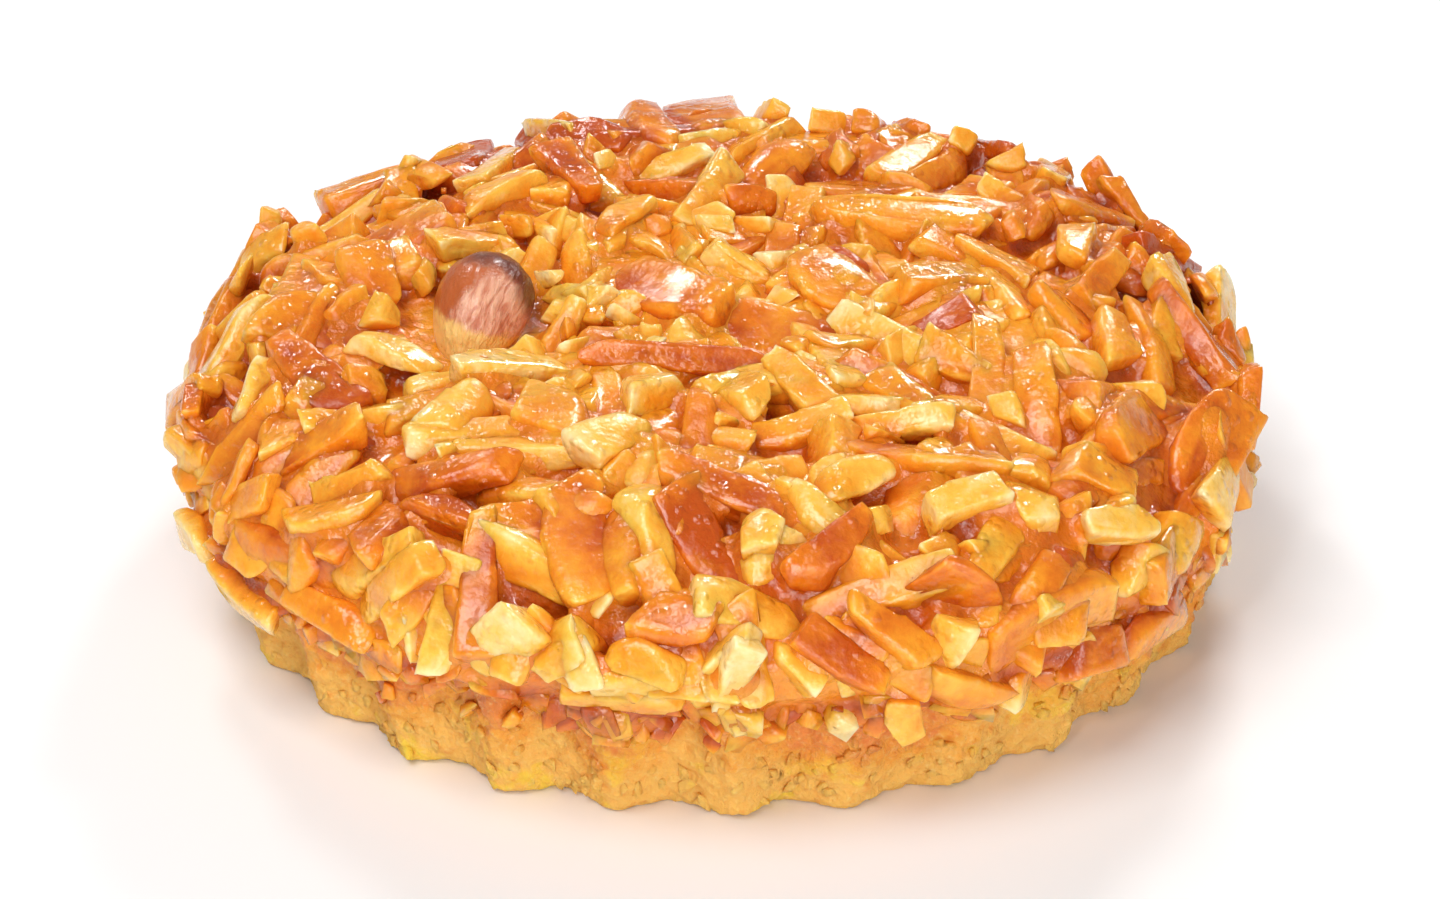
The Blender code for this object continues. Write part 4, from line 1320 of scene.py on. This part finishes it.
class TART_OT_crust(bpy.types.Operator):
    """Model the fluted shortcrust shell"""

    bl_idname = "tart.crust"
    bl_label = "Crust"

    def execute(self, context):
        settings = context.scene.tart_crust
        steps = FLUTES * settings.steps
        deselect()
        bpy.ops.mesh.primitive_circle_add(vertices=steps, radius=BASE_RADIUS, fill_type="NGON")
        crust = context.object
        crust.name = crust.data.name = "fluted_crust"
        editing(crust)
        bpy.ops.mesh.inset(thickness=3 * MM)
        bpy.ops.object.mode_set(mode="OBJECT")
        rows = self.levels(settings.rows)
        mesh = crust.data
        outer = [edge for edge in mesh.edges if self.is_outer(mesh, edge)]
        for parts in (mesh.polygons, mesh.edges, mesh.vertices):
            parts.foreach_set("select", [False] * len(parts))
        for edge in outer:
            edge.select = True
            for corner in edge.vertices:
                mesh.vertices[corner].select = True
        bpy.ops.object.mode_set(mode="EDIT")
        bpy.ops.mesh.select_mode(type="EDGE")
        for low, high in zip(rows, rows[1:]):
            bpy.ops.mesh.extrude_region_move(
                TRANSFORM_OT_translate={"value": (0, 0, high[0] - low[0])}
            )
        bpy.ops.mesh.edge_face_add()
        bpy.ops.mesh.inset(thickness=2 * MM)
        bpy.ops.mesh.select_all(action="SELECT")
        bpy.ops.mesh.normals_make_consistent(inside=False)
        bpy.ops.object.mode_set(mode="OBJECT")
        in_order(mesh)
        self.flute(mesh, rows, settings.crags)
        mesh.shade_smooth()
        finish = crust_finish(settings)
        finished(crust, finish, "shortcrust", "tart_shell")
        draw = random.Random(SEED + 30)
        crumbs = joined_nuts("pastry_crumbs", "pastry", pastry_crumbs(), laid_nuts()[1], draw)
        finished(crumbs, finish, "shortcrust", "tart_shell")
        return {"FINISHED"}

    @staticmethod
    def levels(count):
        """Height and inset of each row of the wall, rounded at both ends."""
        rows = [(0, BASE_CHAMFER), (0.35 * BASE_CHAMFER, 0.3 * BASE_CHAMFER)]
        straight = np.linspace(BASE_CHAMFER, SHELL_HEIGHT - RIM_ROUNDING, count)
        rows += [(float(height), 0) for height in straight]
        for share in (0.3, 0.6, 0.9):
            angle = share * math.pi / 2
            height = SHELL_HEIGHT - RIM_ROUNDING * (1 - math.sin(angle))
            rows.append((height, RIM_ROUNDING * (1 - math.cos(angle))))
        return rows

    @staticmethod
    def is_outer(mesh, edge):
        place = (mesh.vertices[edge.vertices[0]].co + mesh.vertices[edge.vertices[1]].co) / 2
        return place.length > BASE_RADIUS - 0.5 * MM

    @staticmethod
    def flute(mesh, rows, crags):
        corners = corners_of(mesh)
        insets = {round(height, 6): inset for height, inset in rows}
        for i, (x, y, z) in enumerate(corners):
            inset = insets[min(insets, key=lambda height: abs(height - z))]
            inner = BASE_RADIUS - math.hypot(x, y)
            if inner < 0.5 * MM:
                corners[i] = shell_outline(math.atan2(y, x), z, inset, crags)
        move_corners(mesh, corners)


class TART_OT_nuts(bpy.types.Operator):
    """Model the chopped almonds, one piece for each kind"""

    bl_idname = "tart.nuts"
    bl_label = "Chopped almonds"

    def execute(self, context):
        finish = nut_finish(context.scene.tart_nuts)
        nuts, bed = laid_nuts()
        for i, (kind, name) in enumerate(NUT_PIECES.items()):
            alike = [nut for nut in nuts if nut.kind == kind]
            piece = joined_nuts(name, kind, alike, bed, random.Random(SEED + 20 + i))
            finished(piece, finish, "caramel_nuts", "almond_crown")
        return {"FINISHED"}


class TART_OT_caramel(bpy.types.Operator):
    """Pour caramel into the gaps between the nuts and over the rim"""

    bl_idname = "tart.caramel"
    bl_label = "Caramel"

    def execute(self, context):
        settings = context.scene.tart_caramel
        core = self.core()
        for name in NUT_PIECES.values():
            copy = bpy.data.objects[name].copy()
            copy.data = copy.data.copy()
            context.scene.collection.objects.link(copy)
            deselect()
            copy.select_set(True)
            core.select_set(True)
            context.view_layer.objects.active = core
            bpy.ops.object.join()
        core.name = core.data.name = "amber_caramel"
        core.data.materials.clear()
        apply_modifier(core, "REMESH", mode="VOXEL", voxel_size=settings.cell)
        apply_modifier(core, "SMOOTH", factor=0.5, iterations=settings.smoothing)
        self.sink(core.data, settings.sink)
        core.data.shade_smooth()
        # deep: how far the caramel lies below the nut tops, used for its thickness and for painted
        # shade.
        note(core.data, "deep", gap_depth(laid_nuts()[1], corners_of(core.data)))
        for name in NUT_PIECES.values():
            self.soak(bpy.data.objects[name].data, core.data, settings.soaking)
        finished(core, caramel_finish(settings), "caramel_nuts", "almond_crown")
        return {"FINISHED"}

    @staticmethod
    def core():
        """The crown's own dome, with an uneven skirt of caramel over the rim."""
        deselect()
        bpy.ops.mesh.primitive_circle_add(vertices=CORE_STEPS, radius=1, fill_type="NGON")
        core = bpy.context.object
        editing(core)
        for _ in range(len(CORE_SHARES) + 1):
            bpy.ops.mesh.extrude_region_move(TRANSFORM_OT_translate={"value": (0, 0, 1)})
        bpy.ops.mesh.select_all(action="SELECT")
        bpy.ops.mesh.normals_make_consistent(inside=False)
        bpy.ops.object.mode_set(mode="OBJECT")
        corners = corners_of(core.data)
        for i, (x, y, z) in enumerate(corners):
            turn, row = math.atan2(y, x), round(z)
            if row < 2:
                side = max(0, -math.sin(turn)) ** 2
                drip = noise.noise(Vector((math.cos(turn) * 5, math.sin(turn) * 5, 3)))
                fine = noise.noise(Vector((math.cos(turn) * 16, math.sin(turn) * 16, 7)))
                foot = SKIRT_LEVEL + SKIRT_FRONT * side
                foot += SKIRT_DRIPS * drip + SKIRT_WAVES * fine
                height = (foot * MM, SHELL_HEIGHT + 1 * MM)[row]
                radius = ridge_radius(height) + (-0.9, 0.2)[row] * MM
            else:
                radius, height = crown_curve(CORE_SHARES[row - 2], -0.4 * MM)
                height += noise.noise(Vector((x, y, 0)) * radius / (6 * MM)) * 0.6 * MM
            corners[i] = (math.cos(turn) * radius, math.sin(turn) * radius, height)
        move_corners(core.data, corners)
        return core

    @staticmethod
    def soak(nuts, caramel, reach):
        """Darkens the nuts where they come out of the caramel."""
        surface = BVHTree.FromPolygons(
            [corner.co for corner in caramel.vertices], [side.vertices for side in caramel.polygons]
        )
        toast = np.empty(len(nuts.vertices), dtype=np.float32)
        nuts.attributes["toast"].data.foreach_get("value", toast)
        for i, corner in enumerate(nuts.vertices):
            gap = surface.find_nearest(corner.co, 2 * reach)[3]
            if gap is not None:
                toast[i] += SOAKED * max(0, 1 - gap / reach)
        nuts.attributes["toast"].data.foreach_set("value", toast)

    @staticmethod
    def sink(mesh, depth):
        """Lets the faces of the nuts stand clear, less so where the glaze is thick."""
        corners = corners_of(mesh)
        thick = np.array([noise.noise(Vector(place) / (5 * MM)) for place in corners])
        amount = depth * (1 - 1.6 * np.clip(thick, -0.5, 1))
        move_corners(mesh, corners - normals_of(mesh) * amount[:, None])


class TART_OT_almond(bpy.types.Operator):
    """Model the half almond with its skin on"""

    bl_idname = "tart.almond"
    bl_label = "Half almond"

    def execute(self, context):
        deselect()
        bpy.ops.mesh.primitive_uv_sphere_add(segments=64, ring_count=40, radius=1)
        almond = context.object
        almond.name = almond.data.name = "skin_on_almond"
        editing(almond)
        bpy.ops.mesh.bisect(
            plane_co=(0, 0, 0), plane_no=(0, 0, -1), use_fill=True, clear_outer=True
        )
        bpy.ops.mesh.select_all(action="SELECT")
        bpy.ops.mesh.normals_make_consistent(inside=False)
        bpy.ops.object.mode_set(mode="OBJECT")
        mesh = almond.data
        in_order(mesh)
        corners = corners_of(mesh)
        x, y, z = corners.T
        size = (ALMOND_LENGTH / 2, ALMOND_WIDTH / 2, ALMOND_THICKNESS)
        wrinkle = np.array([
            noise.noise(Vector((0.7 * a, 5 * b, 5 * c)))
            + 0.5 * noise.noise(Vector((1.5 * a, 11 * b, 11 * c)))
            for a, b, c in corners
        ])
        swell = 1 - 0.03 * np.clip(z * 4, 0, 1) * (0.6 + wrinkle)
        taper = 1 + ALMOND_TAPER * x
        placed = np.stack([x * size[0], y * size[1] * taper, z * size[2]], axis=1) * swell[:, None]
        move_corners(mesh, moved(placed, almond_matrix()))
        note(mesh, "along", (x + 1) / 2)
        note(mesh, "lift", z)
        note(mesh, "across", (y + 1) / 2)
        mesh.shade_smooth()
        finished(almond, skin_finish(context.scene.tart_skin), "almond_skin", "half_almond")
        return {"FINISHED"}


class TART_OT_stage(bpy.types.Operator):
    """Set the floor, the lights and the camera"""

    bl_idname = "tart.stage"
    bl_label = "Stage"

    def execute(self, context):
        settings = context.scene.tart_stage
        deselect()
        bpy.ops.mesh.primitive_plane_add(size=6, location=(0, 0, -0.05 * MM))
        floor = context.object
        floor.name = "floor"
        floor.data.materials.append(floor_finish(settings))
        for name, place, size, setting, share in SOFTBOXES:
            self.softbox(name, place, size, getattr(settings, setting) * share)
        world = bpy.data.worlds.new("studio")
        world.use_nodes = True
        sky = world.node_tree.nodes["Background"]
        sky.inputs["Color"].default_value = (1, 1, 1, 1)
        sky.inputs["Strength"].default_value = settings.sky
        context.scene.world = world
        context.scene.view_settings.view_transform = "Standard"
        target = Vector((0, 0, VIEW_LEVEL))
        away = Vector((0, -math.cos(VIEW_ELEVATION), math.sin(VIEW_ELEVATION)))
        bpy.ops.object.camera_add(
            location=target + away * VIEW_DISTANCE, rotation=(math.pi / 2 - VIEW_ELEVATION, 0, 0)
        )
        camera = context.object
        camera.data.lens = VIEW_LENS
        camera.data.sensor_width = VIEW_SENSOR
        camera.data.clip_start = 0.01
        context.scene.camera = camera
        return {"FINISHED"}

    @staticmethod
    def softbox(name, place, size, power):
        bpy.ops.object.light_add(type="AREA", location=place)
        light = bpy.context.object
        light.name = name
        light.data.energy = power
        light.data.size = size
        aim = Vector((0, 0, 0.02)) - Vector(place)
        light.rotation_euler = aim.to_track_quat("-Z", "Y").to_euler()


class TART_PT_panel(bpy.types.Panel):
    """Lists the pieces of the tart"""

    bl_idname = "TART_PT_panel"
    bl_label = "Almond tart"
    bl_space_type = "VIEW_3D"
    bl_region_type = "UI"
    bl_category = "Tart"

    def draw(self, context):
        for operator in OPERATORS:
            self.layout.operator(operator.bl_idname)
        for name in SETTINGS:
            group = getattr(context.scene, name)
            box = self.layout.box()
            for value in group.__annotations__:
                box.prop(group, value)


SETTINGS = {
    "tart_crust": CrustSettings,
    "tart_nuts": NutSettings,
    "tart_caramel": CaramelSettings,
    "tart_skin": SkinSettings,
    "tart_stage": StageSettings,
}
OPERATORS = (TART_OT_stage, TART_OT_crust, TART_OT_nuts, TART_OT_caramel, TART_OT_almond)


def register():
    for group in (*SETTINGS.values(), *OPERATORS, TART_PT_panel):
        bpy.utils.register_class(group)
    for name, group in SETTINGS.items():
        setattr(bpy.types.Scene, name, PointerProperty(type=group))


def unregister():
    for name in SETTINGS:
        delattr(bpy.types.Scene, name)
    for group in reversed((*SETTINGS.values(), *OPERATORS, TART_PT_panel)):
        bpy.utils.unregister_class(group)


def main():
    register()
    for operator in OPERATORS:
        family, name = operator.bl_idname.split(".")
        getattr(getattr(bpy.ops, family), name)()


if __name__ == "__main__":
    main()
